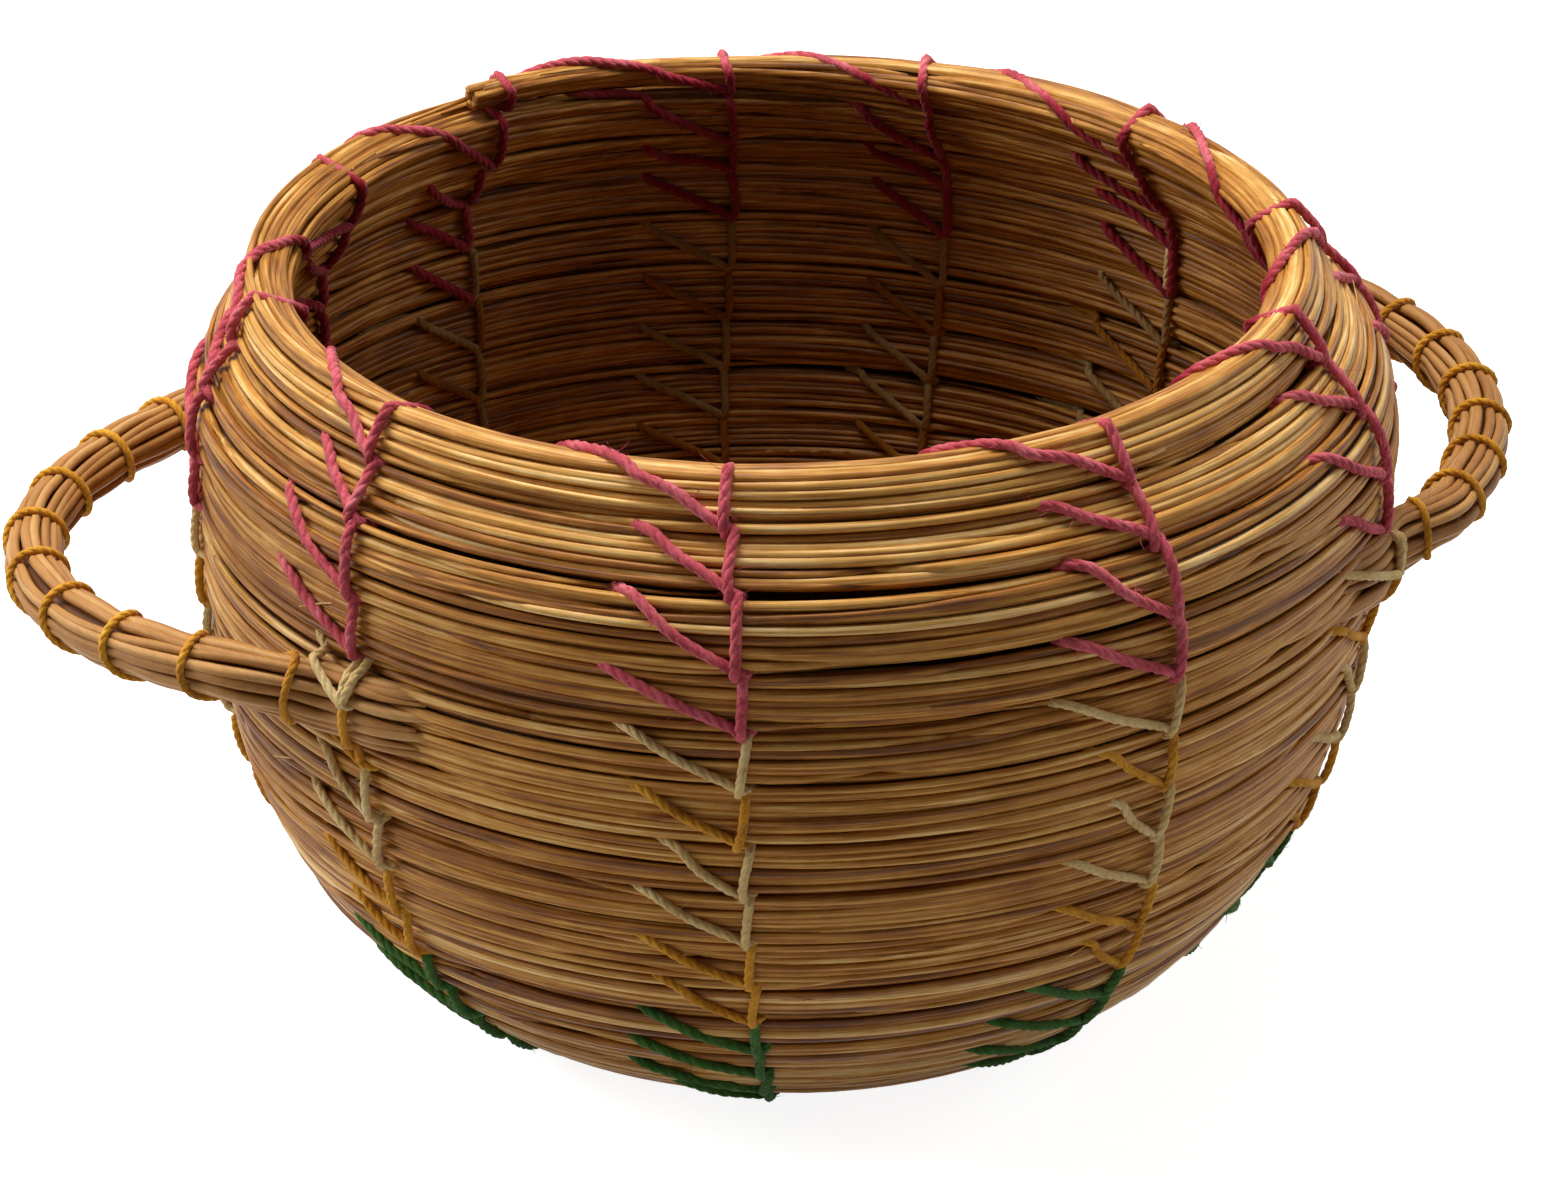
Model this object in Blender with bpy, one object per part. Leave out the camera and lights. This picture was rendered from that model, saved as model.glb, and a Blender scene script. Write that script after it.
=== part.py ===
"""Coiled pine needle basket with two wrapped side handles.

One bundle of needles winds up from the middle of the base to the rim as a
single unbroken coil. Each round of it is sewn to the round below at eleven
columns, with a thread of its own, and each handle is a second bundle that is
wrapped with thread and lashed to the wall beside two of the columns.

Metres, +Z up. The basket stands on z = 0 and its mouth looks up, with the
middle of its overall width and depth on the Z axis. Azimuths are in degrees
round the coil's own axis, counterclockwise from +X as seen from above, and the
front of the basket looks along -Y.
"""

import math

import bmesh
import bpy
import numpy as np
from mathutils import Vector, kdtree

MM = 0.001

# Outline that the middle of the coil follows, as radius and height
REST_RADIUS = 36.0 * MM
FLAT_WIDTH = 6.2 * MM
DOME_RISE = 4.0 * MM
BELLY_RADIUS = 66.3 * MM
BELLY_HEIGHT = 63.6 * MM
RIM_RADIUS = 58.9 * MM
RIM_HEIGHT = 84.9 * MM
FOOT_ANGLE = 26.0
RIM_ANGLE = 115.0
# How far each curve keeps its way, as a share of the height between its two ends
FOOT_PULL = 0.32
BELLY_PULL_BELOW = 0.525
BELLY_PULL_ABOVE = 0.80
RIM_PULL = 0.66
# How far to the right the wall stands, at heights given as a share of the rim's
SWAY_PLACES = (0.0, 0.24, 0.53, 0.80, 1.06)
SWAY = (0.0, 0.0, 0.5 * MM, 1.5 * MM, -0.6 * MM)
OUTLINE_STEPS = 200
TANGENT_REACH = 1.5 * MM

# Needle coil
WALL_ROWS = 15
BASE_TURNS = 5.6
BASE_PITCH = 5.8 * MM
ROW_GAP = 1.1 * MM
BUNDLE_WIDTH = 6.2 * MM
FLAT_CUT = 0.5 * MM
FACE_SHARE = 0.55
START_SCALE = 0.5
END_SCALE = 0.5
START_TAPER_DEGREES = 200.0
END_TAPER_DEGREES = 60.0
END_STUMP_DEGREES = 24.0
COIL_END = 131.5
CLIMB_START = 40.0
RIM_CLIMB_SHARE = 0.28
BASE_CLIMB_SHARE = 1.0

# Stitch columns, as far round as the maker set them, from the rim
COLUMNS = (9, 41, 71, 96, 123, 154, 193, 226, 264, 304, 339)
COLUMN_LEAN = 3.0

# Sewing thread
THREAD_THICKNESS = 0.6 * MM
THREAD_WIDTH = 1.4 * MM
SLANT_WIDTH = 2.3 * MM
TURN_WIDTH = 1.0 * MM
HOLE_SPACING = 1.9 * MM
CROSSING_SHARE = 0.08
CLEARANCE = 0.3 * MM
CORNER_CLEARANCE = 0.75 * MM
FLOOR_CLEARANCE = 0.1 * MM
NOTCH_HEIGHT = 1.4 * MM
NOTCH_SLOPE = 2.4 * MM
NOTCH_ROWS = (-2.2, 1.7)
FEATHER_ROUNDS = 14
ROUND_COLOURS = ("rose",) * 4 + ("cream", "ochre", "cream", "cream", "ochre", "ochre")
BASE_COLOUR = "green"

# Handles
LEFT_HANDLE_REACH = 21.9 * MM
RIGHT_HANDLE_REACH = 15.2 * MM
LEFT_HANDLE_DROP = 1.2 * MM
RIGHT_HANDLE_DROP = 0.2 * MM
HANDLE_RADIUS = 3.5 * MM
HANDLE_TIP_RADIUS = 1.6 * MM
HANDLE_TAIL = 8.0 * MM
HANDLE_OVERRUN = 2.0 * MM
HANDLE_STATIONS = 16
HANDLE_SIDES = 8
LASH_SETBACK = 5.0 * MM
WRAP_TURNS = 9
WRAP_SHARE = 0.8
WRAP_WIDTH = 1.2 * MM

COLOURS = {
    "needles": (0.50, 0.29, 0.10, 1.0),
    "handle_needles": (0.52, 0.27, 0.10, 1.0),
    "rose": (0.55, 0.09, 0.13, 1.0),
    "cream": (0.58, 0.45, 0.26, 1.0),
    "ochre": (0.55, 0.27, 0.03, 1.0),
    "green": (0.03, 0.17, 0.06, 1.0),
}
NEEDLE_ROUGHNESS = 0.5
THREAD_ROUGHNESS = 0.9

INSIDE, OUTSIDE = -1, 1
BELOW, MIDDLE, ABOVE = -1, 0, 1


def clear_scene():
    for item in list(bpy.data.objects):
        bpy.data.objects.remove(item, do_unlink=True)


def material(name):
    """A plain finish in one of the named colours."""
    found = bpy.data.materials.get(name)
    if found:
        return found
    made = bpy.data.materials.new(name)
    made.use_nodes = True
    shader = made.node_tree.nodes["Principled BSDF"]
    shader.inputs["Base Color"].default_value = COLOURS[name]
    needles = name.endswith("needles")
    shader.inputs["Roughness"].default_value = NEEDLE_ROUGHNESS if needles else THREAD_ROUGHNESS
    shader.inputs["Metallic"].default_value = 0.0
    return made


def wall_between(mesh, near, far):
    """Two triangles a side, split the way that keeps a slanted run from folding into itself."""
    middle = sum((vertex.co for vertex in near + far), Vector()) / (2 * len(near))
    for i in range(len(near)):
        j = (i + 1) % len(near)
        fold = (near[i].co + far[j].co) / 2 - middle
        other_fold = (near[j].co + far[i].co) / 2 - middle
        if fold.length > other_fold.length:
            mesh.faces.new((near[i], near[j], far[j]))
            mesh.faces.new((near[i], far[j], far[i]))
        else:
            mesh.faces.new((near[i], near[j], far[i]))
            mesh.faces.new((near[j], far[j], far[i]))


def tube(name, rings, colour, ring_closed=False):
    """One closed body through rings of points: capped at both ends, or joined end to start."""
    mesh = bmesh.new()
    rows = [[mesh.verts.new(point) for point in ring] for ring in rings]
    pairs = list(zip(rows, rows[1:]))
    if ring_closed:
        pairs.append((rows[-1], rows[0]))
    else:
        mesh.faces.new(rows[0])
        mesh.faces.new(reversed(rows[-1]))
    for near, far in pairs:
        wall_between(mesh, near, far)
    bmesh.ops.recalc_face_normals(mesh, faces=mesh.faces)
    data = bpy.data.meshes.new(name)
    mesh.to_mesh(data)
    mesh.free()
    data.shade_smooth()
    data.set_sharp_from_angle(angle=math.radians(50))
    data.materials.append(material(colour))
    piece = bpy.data.objects.new(name, data)
    bpy.context.scene.collection.objects.link(piece)
    return piece


def bezier(start, start_handle, end_handle, end):
    along = np.linspace(0.0, 1.0, OUTLINE_STEPS)[:, None]
    back = 1.0 - along
    return (
        back**3 * start
        + 3 * back**2 * along * start_handle
        + 3 * back * along**2 * end_handle
        + along**3 * end
    )


class Outline:
    """The section of the basket from the middle of the base to the rim, measured along itself.

    Distance 0 is the middle of the flat ring that the basket stands on.
    """

    def __init__(self):
        flat_height = BUNDLE_WIDTH / 2 - FLAT_CUT
        flat_start = REST_RADIUS - FLAT_WIDTH / 2
        radii = np.linspace(0.0, flat_start, OUTLINE_STEPS)
        dome = np.stack([radii, flat_height + DOME_RISE * (1 - (radii / flat_start) ** 2)], axis=1)
        foot = np.array([REST_RADIUS + FLAT_WIDTH / 2, flat_height])
        belly = np.array([BELLY_RADIUS, BELLY_HEIGHT])
        rim = np.array([RIM_RADIUS, RIM_HEIGHT])
        foot_way = np.array([math.cos(math.radians(FOOT_ANGLE)), math.sin(math.radians(FOOT_ANGLE))])
        rim_way = np.array([math.cos(math.radians(RIM_ANGLE)), math.sin(math.radians(RIM_ANGLE))])
        up = np.array([0.0, 1.0])
        below = BELLY_HEIGHT - flat_height
        above = RIM_HEIGHT - BELLY_HEIGHT
        leaving_foot = foot + FOOT_PULL * below * foot_way
        lower = bezier(foot, leaving_foot, belly - BELLY_PULL_BELOW * below * up, belly)
        leaning_in = rim - RIM_PULL * above * rim_way
        upper = bezier(belly, belly + BELLY_PULL_ABOVE * above * up, leaning_in, rim)
        self.points = np.concatenate([dome, lower, upper[1:]])
        steps = np.linalg.norm(np.diff(self.points, axis=0), axis=1)
        lengths = np.concatenate([[0.0], np.cumsum(steps)])
        to_rest = lengths[OUTLINE_STEPS - 1] + FLAT_WIDTH / 2
        self.distances = lengths - to_rest
        self.wall_length = self.distances[-1]
        self.rim_way = rim_way

    def point(self, distance):
        radius = np.interp(distance, self.distances, self.points[:, 0])
        height = np.interp(distance, self.distances, self.points[:, 1])
        past_rim = max(0.0, distance - self.wall_length)
        return np.array([radius, height]) + past_rim * self.rim_way

    def frame(self, distance):
        """The point, the way along the outline, and the way out of the basket."""
        ahead = self.point(distance + TANGENT_REACH)
        behind = self.point(distance - TANGENT_REACH)
        along = (ahead - behind) / np.linalg.norm(ahead - behind)
        return self.point(distance), along, np.array([along[1], -along[0]])


OUTLINE = Outline()
RIM_PITCH = 2 * OUTLINE.wall_length / WALL_ROWS - BASE_PITCH
END_AZIMUTH = 360.0 * WALL_ROWS + COIL_END
START_AZIMUTH = CLIMB_START - 360.0 * BASE_TURNS


def sway(height):
    """No hand-sewn wall is quite round: how far to the right it stands at that height."""
    return float(np.interp(height / RIM_HEIGHT, SWAY_PLACES, SWAY))


def ease(share):
    share = min(1.0, max(0.0, share))
    return share * share * (3 - 2 * share)


def row_at(azimuth):
    """How many rows above the resting row the coil is: level most of the way, then a short climb."""
    turns = (azimuth - CLIMB_START) / 360.0
    height_share = (turns + BASE_TURNS) / (WALL_ROWS + BASE_TURNS)
    climb_share = BASE_CLIMB_SHARE + (RIM_CLIMB_SHARE - BASE_CLIMB_SHARE) * height_share
    whole = math.floor(turns)
    part = (turns - whole) / climb_share
    return whole + ease(part)


def pitch_at(row):
    return BASE_PITCH + (RIM_PITCH - BASE_PITCH) * max(0.0, row) / WALL_ROWS


def distance_at(row):
    """Rows grow evenly thicker from the base to the rim."""
    return BASE_PITCH * row + (RIM_PITCH - BASE_PITCH) * max(0.0, row) ** 2 / (2 * WALL_ROWS)


class Station:
    """The coil's section at one azimuth: its middle, its two ways, and its half sizes."""

    def __init__(self, azimuth):
        row = row_at(azimuth)
        opening = ease((azimuth - START_AZIMUTH) / START_TAPER_DEGREES)
        closing = ease((END_AZIMUTH - END_STUMP_DEGREES - azimuth) / END_TAPER_DEGREES)
        scale = (START_SCALE + (1 - START_SCALE) * opening) * (END_SCALE + (1 - END_SCALE) * closing)
        full_height = (pitch_at(row) - ROW_GAP) / 2
        self.azimuth = azimuth
        self.row = row
        self.half_height = full_height * scale
        self.half_width = BUNDLE_WIDTH / 2 * scale
        seat = full_height - self.half_height if row > WALL_ROWS - 1 else 0.0
        self.distance = distance_at(row) - seat
        self.frames = {
            level: OUTLINE.frame(self.distance + level * (self.half_height + ROW_GAP / 2))
            for level in (BELOW, MIDDLE, ABOVE)
        }
        self.middle, self.along, self.out = self.frames[MIDDLE]
        self.bulge = {side: self.face_beyond_chord(side) for side in (INSIDE, OUTSIDE)}

    def corners(self):
        """The six corners of the bundle, as out and along from its middle."""
        face = self.half_height * FACE_SHARE
        wide = self.half_width
        tall = self.half_height
        return (wide, -face), (wide, face), (0, tall), (-wide, face), (-wide, -face), (0, -tall)

    def face_beyond_chord(self, side):
        """How far the corners on one side stand past a straight thread from gap to gap."""
        (low, _, low_out), (high, _, high_out) = self.frames[BELOW], self.frames[ABOVE]
        start = low + side * self.half_width * low_out
        chord = high + side * self.half_width * high_out - start
        square = side * np.array([chord[1], -chord[0]]) / np.linalg.norm(chord)
        beyond = [
            float(np.dot(self.middle + out * self.out + along * self.along - start, square))
            for out, along in self.corners()
            if out * side > 0
        ]
        return max(0.0, *beyond)

    def place(self, level, out, along, floor=0.0):
        """A point measured from the middle of the bundle, or of the gap below or above it."""
        middle, along_way, out_way = self.frames[level]
        radius, height = middle + out * out_way + along * along_way
        angle = math.radians(self.azimuth)
        x = radius * math.cos(angle) + sway(height)
        return Vector((x, radius * math.sin(angle), max(height, floor)))


def column_azimuths():
    """Every crossing of the coil with a stitch column, from the base to the rim."""
    found = []
    for turn in range(-math.ceil(BASE_TURNS) - 1, WALL_ROWS + 1):
        for column in COLUMNS:
            azimuth = 360.0 * turn + column
            rows_down = min(WALL_ROWS, (END_AZIMUTH - azimuth) / 360.0)
            azimuth += COLUMN_LEAN * rows_down / WALL_ROWS
            if START_AZIMUTH < azimuth < END_AZIMUTH:
                found.append(azimuth)
    return sorted(found)


CROSSINGS = column_azimuths()
MIDDLES = [(a + b) / 2 for a, b in zip(CROSSINGS, CROSSINGS[1:])]


def degrees_of(length, azimuth):
    """The angle that a length along the coil takes up there."""
    radius = OUTLINE.point(distance_at(row_at(azimuth)))[0]
    return float(math.degrees(length / radius))


def notched(azimuth):
    return NOTCH_ROWS[0] < row_at(azimuth) < NOTCH_ROWS[1]


def coil_stations():
    """Stations at each column and halfway between, and at the edges of each notch for a stitch."""
    lifted = set()
    plain = set(MIDDLES) | {START_AZIMUTH, END_AZIMUTH}
    for azimuth in CROSSINGS:
        if not notched(azimuth):
            plain.add(azimuth)
            continue
        before = azimuth - degrees_of(HOLE_SPACING, azimuth)
        slope = degrees_of(NOTCH_SLOPE, azimuth)
        lifted |= {before, azimuth}
        plain |= {before - slope, azimuth + slope}
    return [(Station(azimuth), azimuth in lifted) for azimuth in sorted(lifted | plain)]


STATIONS = coil_stations()
STATION_AZIMUTHS = [station.azimuth for station, _ in STATIONS]


def section(station, lifted):
    """A six-sided bundle, flat towards the outside and the inside, cut flat where it meets the floor."""
    floor = NOTCH_HEIGHT if lifted else 0.0
    return [station.place(MIDDLE, out, along, floor) for out, along in station.corners()]


def report_least_gap(rings):
    """Prints the least distance between the coil and its next turn, measured on points."""
    steps = 8
    sides = len(rings[0])
    count = (len(rings) - 1) * steps * sides
    tree = kdtree.KDTree(count)
    spots = []
    for i, (near, far) in enumerate(zip(rings, rings[1:])):
        start, end = STATION_AZIMUTHS[i], STATION_AZIMUTHS[i + 1]
        for step in range(steps):
            share = step / steps
            for a, b in zip(near, far):
                tree.insert(a.lerp(b, share), len(spots))
                spots.append((a.lerp(b, share), start + (end - start) * share))
    tree.balance()
    least = math.inf
    for spot, azimuth in spots:
        for _, other, distance in tree.find_range(spot, 2 * ROW_GAP):
            if abs(spots[other][1] - azimuth) > 180:
                least = min(least, distance)
    print(f"needle_coil: {(END_AZIMUTH - START_AZIMUTH) / 360:.1f} turns, least gap {least / MM:.2f} mm")


def needle_coil():
    rings = [section(station, lifted) for station, lifted in STATIONS]
    report_least_gap(rings)
    return tube("needle_coil", rings, "needles")


def reach_beyond_bulge(station, side, stand_off):
    """A wide stand-off inside the basket is already past the bulge; outside, it is added to it."""
    if side == INSIDE:
        return max(stand_off, CLEARANCE + station.bulge[side])
    return stand_off + station.bulge[side]


def in_gap(azimuth, side, level, stand_off, along, floor):
    """A point in the gap below or above the coil, on the straight run between two stations."""
    later = int(np.searchsorted(STATION_AZIMUTHS, azimuth))
    later = min(max(later, 1), len(STATIONS) - 1)
    ends = []
    for station, _ in (STATIONS[later - 1], STATIONS[later]):
        out = side * (station.half_width + reach_beyond_bulge(station, side, stand_off))
        ends.append(station.place(level, out, level * along, floor))
    before, after = STATION_AZIMUTHS[later - 1], STATION_AZIMUTHS[later]
    return ends[0].lerp(ends[1], (azimuth - before) / (after - before))


def thread_ring(azimuth, side, level, width, stand_off=CLEARANCE):
    """Three points of a flat thread where it turns a corner of the coil."""
    spread = degrees_of(width / 2, azimuth)
    half = THREAD_THICKNESS / 2
    floor = FLOOR_CLEARANCE + THREAD_THICKNESS
    ring = [
        in_gap(azimuth + way * spread, side, level, stand_off, -half, floor)
        for way in (-1, 1)
    ]
    ring.append(in_gap(azimuth, side, level, stand_off + THREAD_THICKNESS, half, FLOOR_CLEARANCE))
    return ring


def feather_stitch(column, previous):
    """A slanted stitch up over the coil and down to the column, then an upright one at the column."""
    hole = degrees_of(HOLE_SPACING, column)
    middle = (column + previous) / 2 + degrees_of(SLANT_WIDTH / 2, column)
    crossed = middle + CROSSING_SHARE * (column - previous)
    return [
        thread_ring(middle, INSIDE, ABOVE, SLANT_WIDTH),
        thread_ring(crossed, OUTSIDE, ABOVE, SLANT_WIDTH),
        thread_ring(column, OUTSIDE, BELOW, THREAD_WIDTH),
        thread_ring(column, INSIDE, BELOW, THREAD_WIDTH),
        thread_ring(column - hole, INSIDE, ABOVE, THREAD_WIDTH),
        thread_ring(column - hole, OUTSIDE, ABOVE, THREAD_WIDTH, CORNER_CLEARANCE),
        thread_ring(column + hole, OUTSIDE, BELOW, THREAD_WIDTH, CORNER_CLEARANCE),
        thread_ring(column + 2 * hole, INSIDE, BELOW, THREAD_WIDTH),
    ]


def plain_stitch(column):
    """One turn of thread round the coil; the run to the next column stays inside the basket."""
    hole = degrees_of(HOLE_SPACING, column)
    return [
        thread_ring(column - hole, INSIDE, ABOVE, SLANT_WIDTH, CORNER_CLEARANCE),
        thread_ring(column - hole, OUTSIDE, ABOVE, THREAD_WIDTH, CORNER_CLEARANCE),
        thread_ring(column, OUTSIDE, BELOW, THREAD_WIDTH),
        thread_ring(column, INSIDE, BELOW, TURN_WIDTH, CORNER_CLEARANCE),
    ]


def stitch_rounds():
    """One thread a round, counted down from the rim."""
    per_round = len(COLUMNS)
    last = len(CROSSINGS)
    number = 1
    while last - per_round > per_round:
        first = last - per_round
        feathered = number <= FEATHER_ROUNDS
        rings = []
        for i in range(first, last):
            if feathered:
                rings += feather_stitch(CROSSINGS[i], CROSSINGS[i - 1])
            else:
                rings += plain_stitch(CROSSINGS[i])
        colour = ROUND_COLOURS[number - 1] if number <= len(ROUND_COLOURS) else BASE_COLOUR
        tube(f"{colour}_thread_round_{number}", rings, colour)
        last = first
        number += 1


def crossing(round_number, column):
    """The azimuth where a round, counted from the rim, crosses a column."""
    rim_first = CROSSINGS[-len(COLUMNS):]
    rim_azimuth = min(rim_first, key=lambda azimuth: abs((azimuth - column + 180) % 360 - 180))
    return CROSSINGS[CROSSINGS.index(rim_azimuth) - len(COLUMNS) * (round_number - 1)]


def from_axis(point):
    """How far a point is from the middle of the wall at its height."""
    return math.hypot(point.x - sway(point.z), point.y)


class Handle:
    """A bundle that leaves the wall at one column and comes back to it at another."""

    def __init__(self, name, columns, rounds, reach, drop, skew):
        self.name = name
        self.reach = BELLY_RADIUS + reach
        self.drop = drop
        self.starts = crossing(rounds[0], columns[0])
        self.ends = crossing(rounds[1], columns[1])
        self.first = self.starts % 360
        self.last = self.first + (self.ends - self.first) % 360
        self.middle = (self.first + self.last) / 2 + skew
        self.half_span = (self.last - self.first) / 2
        self.tail_start = self.first - degrees_of(HANDLE_TAIL, self.starts)
        self.tail_end = self.last + degrees_of(HANDLE_OVERRUN, self.ends)

    def seat(self, crossing_azimuth):
        """Radius and height of the bundle's middle where it lies on the wall."""
        station = Station(crossing_azimuth)
        stand = station.half_width + CLEARANCE + THREAD_THICKNESS + CLEARANCE + HANDLE_TIP_RADIUS
        return station.middle + stand * station.out

    def centre(self, azimuth):
        share = (azimuth - self.middle) / self.half_span
        rise = max(0.0, 1 - share * share) ** 1.5
        travel = min(1.0, max(0.0, (azimuth - self.first) / (self.last - self.first)))
        radius, height = (1 - travel) * self.seat(self.starts) + travel * self.seat(self.ends)
        radius += rise * (self.reach - radius)
        angle = math.radians(azimuth)
        x = radius * math.cos(angle) + sway(height)
        return Vector((x, radius * math.sin(angle), height - rise * self.drop))

    def radius(self, azimuth):
        share = min(1.0, abs((azimuth - self.middle) / self.half_span))
        return HANDLE_RADIUS - (HANDLE_RADIUS - HANDLE_TIP_RADIUS) * share**4

    def corner(self, azimuth, turn, extra=0.0, shift=0.0):
        """A point on or beside the bundle, a given way round it and along it."""
        step = 0.5
        along = (self.centre(azimuth + step) - self.centre(azimuth - step)).normalized()
        side = along.cross(Vector((0, 0, 1))).normalized()
        up = side.cross(along)
        distance = self.radius(azimuth) + extra
        round_it = math.cos(turn) * side + math.sin(turn) * up
        return self.centre(azimuth) + distance * round_it + shift * along

    def bundle(self):
        rings = []
        turns = [2 * math.pi * i / HANDLE_SIDES for i in range(HANDLE_SIDES)]
        for i in range(HANDLE_STATIONS):
            azimuth = self.tail_start + (self.tail_end - self.tail_start) * i / (HANDLE_STATIONS - 1)
            rings.append([self.corner(azimuth, turn) for turn in turns])
        tube(self.name, rings, "handle_needles")

    def wrap(self):
        """The ochre thread that winds along the bundle in one length."""
        reach = WRAP_SHARE * self.half_span
        steps = WRAP_TURNS * HANDLE_SIDES
        rings = []
        for i in range(steps + 1):
            azimuth = self.middle - reach + 2 * reach * i / steps
            turn = -2 * math.pi * i / HANDLE_SIDES
            near = [self.corner(azimuth, turn, CLEARANCE, way * WRAP_WIDTH / 2) for way in (-1, 1)]
            rings.append(near + [self.corner(azimuth, turn, CLEARANCE + THREAD_THICKNESS)])
        tube(f"{self.name}_wrap", rings, "ochre")

    def lashing(self, crossing_azimuth, end, colour):
        """A ring of thread round one round of the coil and the bundle that lies on it."""
        azimuth = crossing_azimuth - degrees_of(LASH_SETBACK, crossing_azimuth)
        station = Station(azimuth)
        around = self.first + (azimuth - self.first) % 360
        around = around if around < self.tail_end else around - 360
        beside = degrees_of(THREAD_WIDTH, azimuth)
        turns = [2 * math.pi * i / HANDLE_SIDES for i in range(HANDLE_SIDES)]
        outermost = max(
            from_axis(self.corner(place, turn))
            for place in (around - beside, around, around + beside)
            for turn in turns
        )
        innermost = min(station.frames[BELOW][0][0], station.frames[ABOVE][0][0])
        stand_off = outermost + 2 * CLEARANCE - innermost - station.half_width
        rings = [
            thread_ring(azimuth, INSIDE, ABOVE, THREAD_WIDTH),
            thread_ring(azimuth, OUTSIDE, ABOVE, THREAD_WIDTH, stand_off),
            thread_ring(azimuth, OUTSIDE, BELOW, THREAD_WIDTH, stand_off),
            thread_ring(azimuth, INSIDE, BELOW, THREAD_WIDTH),
        ]
        tube(f"{self.name}_{end}_lashing", rings, colour, ring_closed=True)

    def build(self, places):
        self.bundle()
        self.wrap()
        self.lashing(self.starts, places[0], "cream")
        self.lashing(self.ends, places[1], "cream")


def handles():
    left = Handle("left_handle", (154, 226), (5, 5), LEFT_HANDLE_REACH, LEFT_HANDLE_DROP, skew=0.2)
    left.build(("rear", "front"))
    right = Handle("right_handle", (339, 41), (5, 4), RIGHT_HANDLE_REACH, RIGHT_HANDLE_DROP, skew=0.2)
    right.build(("front", "rear"))


def centre_on_floor():
    """Sets the middle of the basket's overall width and depth on the Z axis."""
    pieces = [item for item in bpy.data.objects if item.type == "MESH"]
    points = np.array([vertex.co for piece in pieces for vertex in piece.data.vertices])
    middle = (points.min(axis=0) + points.max(axis=0)) / 2
    basket = bpy.data.objects.new("basket", None)
    bpy.context.scene.collection.objects.link(basket)
    basket.location = (-middle[0], -middle[1], 0.0)
    for piece in pieces:
        piece.parent = basket
    print(f"coil axis at x {-middle[0] / MM:.3f}, y {-middle[1] / MM:.3f} mm")


clear_scene()
needle_coil()
stitch_rounds()
handles()
centre_on_floor()
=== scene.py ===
# %% [markdown]
# # A coiled pine needle basket
# A pine needle basket is one long bundle of dried needles, wound round and
# round and sewn to itself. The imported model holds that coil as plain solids.
# This lesson dresses it: every needle that shows becomes a strand of its own,
# and every stitch becomes a twisted thread. All sizes are written in
# millimetres and turned into metres by one factor, because that is how a
# basket maker would measure them.

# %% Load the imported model
import math
from dataclasses import dataclass
from typing import NamedTuple

import bmesh
import bpy
import numpy as np
from mathutils import Matrix, Vector


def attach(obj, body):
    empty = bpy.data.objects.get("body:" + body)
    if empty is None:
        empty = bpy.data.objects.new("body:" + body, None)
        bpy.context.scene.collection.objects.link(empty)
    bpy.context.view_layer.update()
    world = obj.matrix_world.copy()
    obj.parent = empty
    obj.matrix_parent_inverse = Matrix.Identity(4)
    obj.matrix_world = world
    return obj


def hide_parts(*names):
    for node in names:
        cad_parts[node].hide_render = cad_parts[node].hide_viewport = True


MM = 0.001

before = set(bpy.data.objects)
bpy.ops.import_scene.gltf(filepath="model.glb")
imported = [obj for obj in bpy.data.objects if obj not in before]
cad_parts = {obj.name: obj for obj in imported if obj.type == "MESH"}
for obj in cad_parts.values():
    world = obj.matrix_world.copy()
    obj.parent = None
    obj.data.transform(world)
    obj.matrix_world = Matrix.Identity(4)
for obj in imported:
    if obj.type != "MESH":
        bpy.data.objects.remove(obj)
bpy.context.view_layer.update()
print("solids to dress:", len(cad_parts))


def put(name, data):
    """A new object in the scene."""
    thing = bpy.data.objects.new(name, data)
    bpy.context.scene.collection.objects.link(thing)
    return thing


# %% [markdown]
# ## Camera
# The basket was seen from a little above, with a long lens about half a metre
# away. The angle between the line of sight and the floor decides how open the
# rim's ellipse looks, and the distance decides how much the near rim outgrows
# the far one, so both were settled before anything was modelled. The lens
# follows from the focal length in pixels and the width of the picture.

# %% Set the camera
PICTURE_WIDTH = 1549
FOCAL_PIXELS = 4618.1
SENSOR_WIDTH = 36.0
CAMERA_PLACE = Vector((0.75, -485.35, 294.2)) * MM
CAMERA_DOWN = 0.477
CAMERA_ROLL = -0.010


def camera_matrix():
    forward = Vector((0, math.cos(CAMERA_DOWN), -math.sin(CAMERA_DOWN)))
    level = Vector((1, 0, 0))
    upright = level.cross(forward)
    right = math.cos(CAMERA_ROLL) * level + math.sin(CAMERA_ROLL) * upright
    up = right.cross(forward)
    turned = Matrix((right, up, -forward)).transposed().to_4x4()
    return Matrix.Translation(CAMERA_PLACE) @ turned


lens = bpy.data.cameras.new("camera")
lens.sensor_fit = "HORIZONTAL"
lens.sensor_width = SENSOR_WIDTH
lens.lens = FOCAL_PIXELS / PICTURE_WIDTH * SENSOR_WIDTH
lens.clip_start = 0.01
camera = put("camera", lens)
camera.matrix_world = camera_matrix()
bpy.context.scene.camera = camera
print(f"lens {lens.lens:.1f} mm")

# %% [markdown]
# ## The wall's section
# Cut the basket in half and the middle of the wall draws one line: a shallow
# dome under the base, a flat ring that it stands on, a long swelling curve and
# an inward lean at the rim. Two Bezier curves between three named places are
# enough for it, and they are easier to adjust than a list of measured points.

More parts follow.
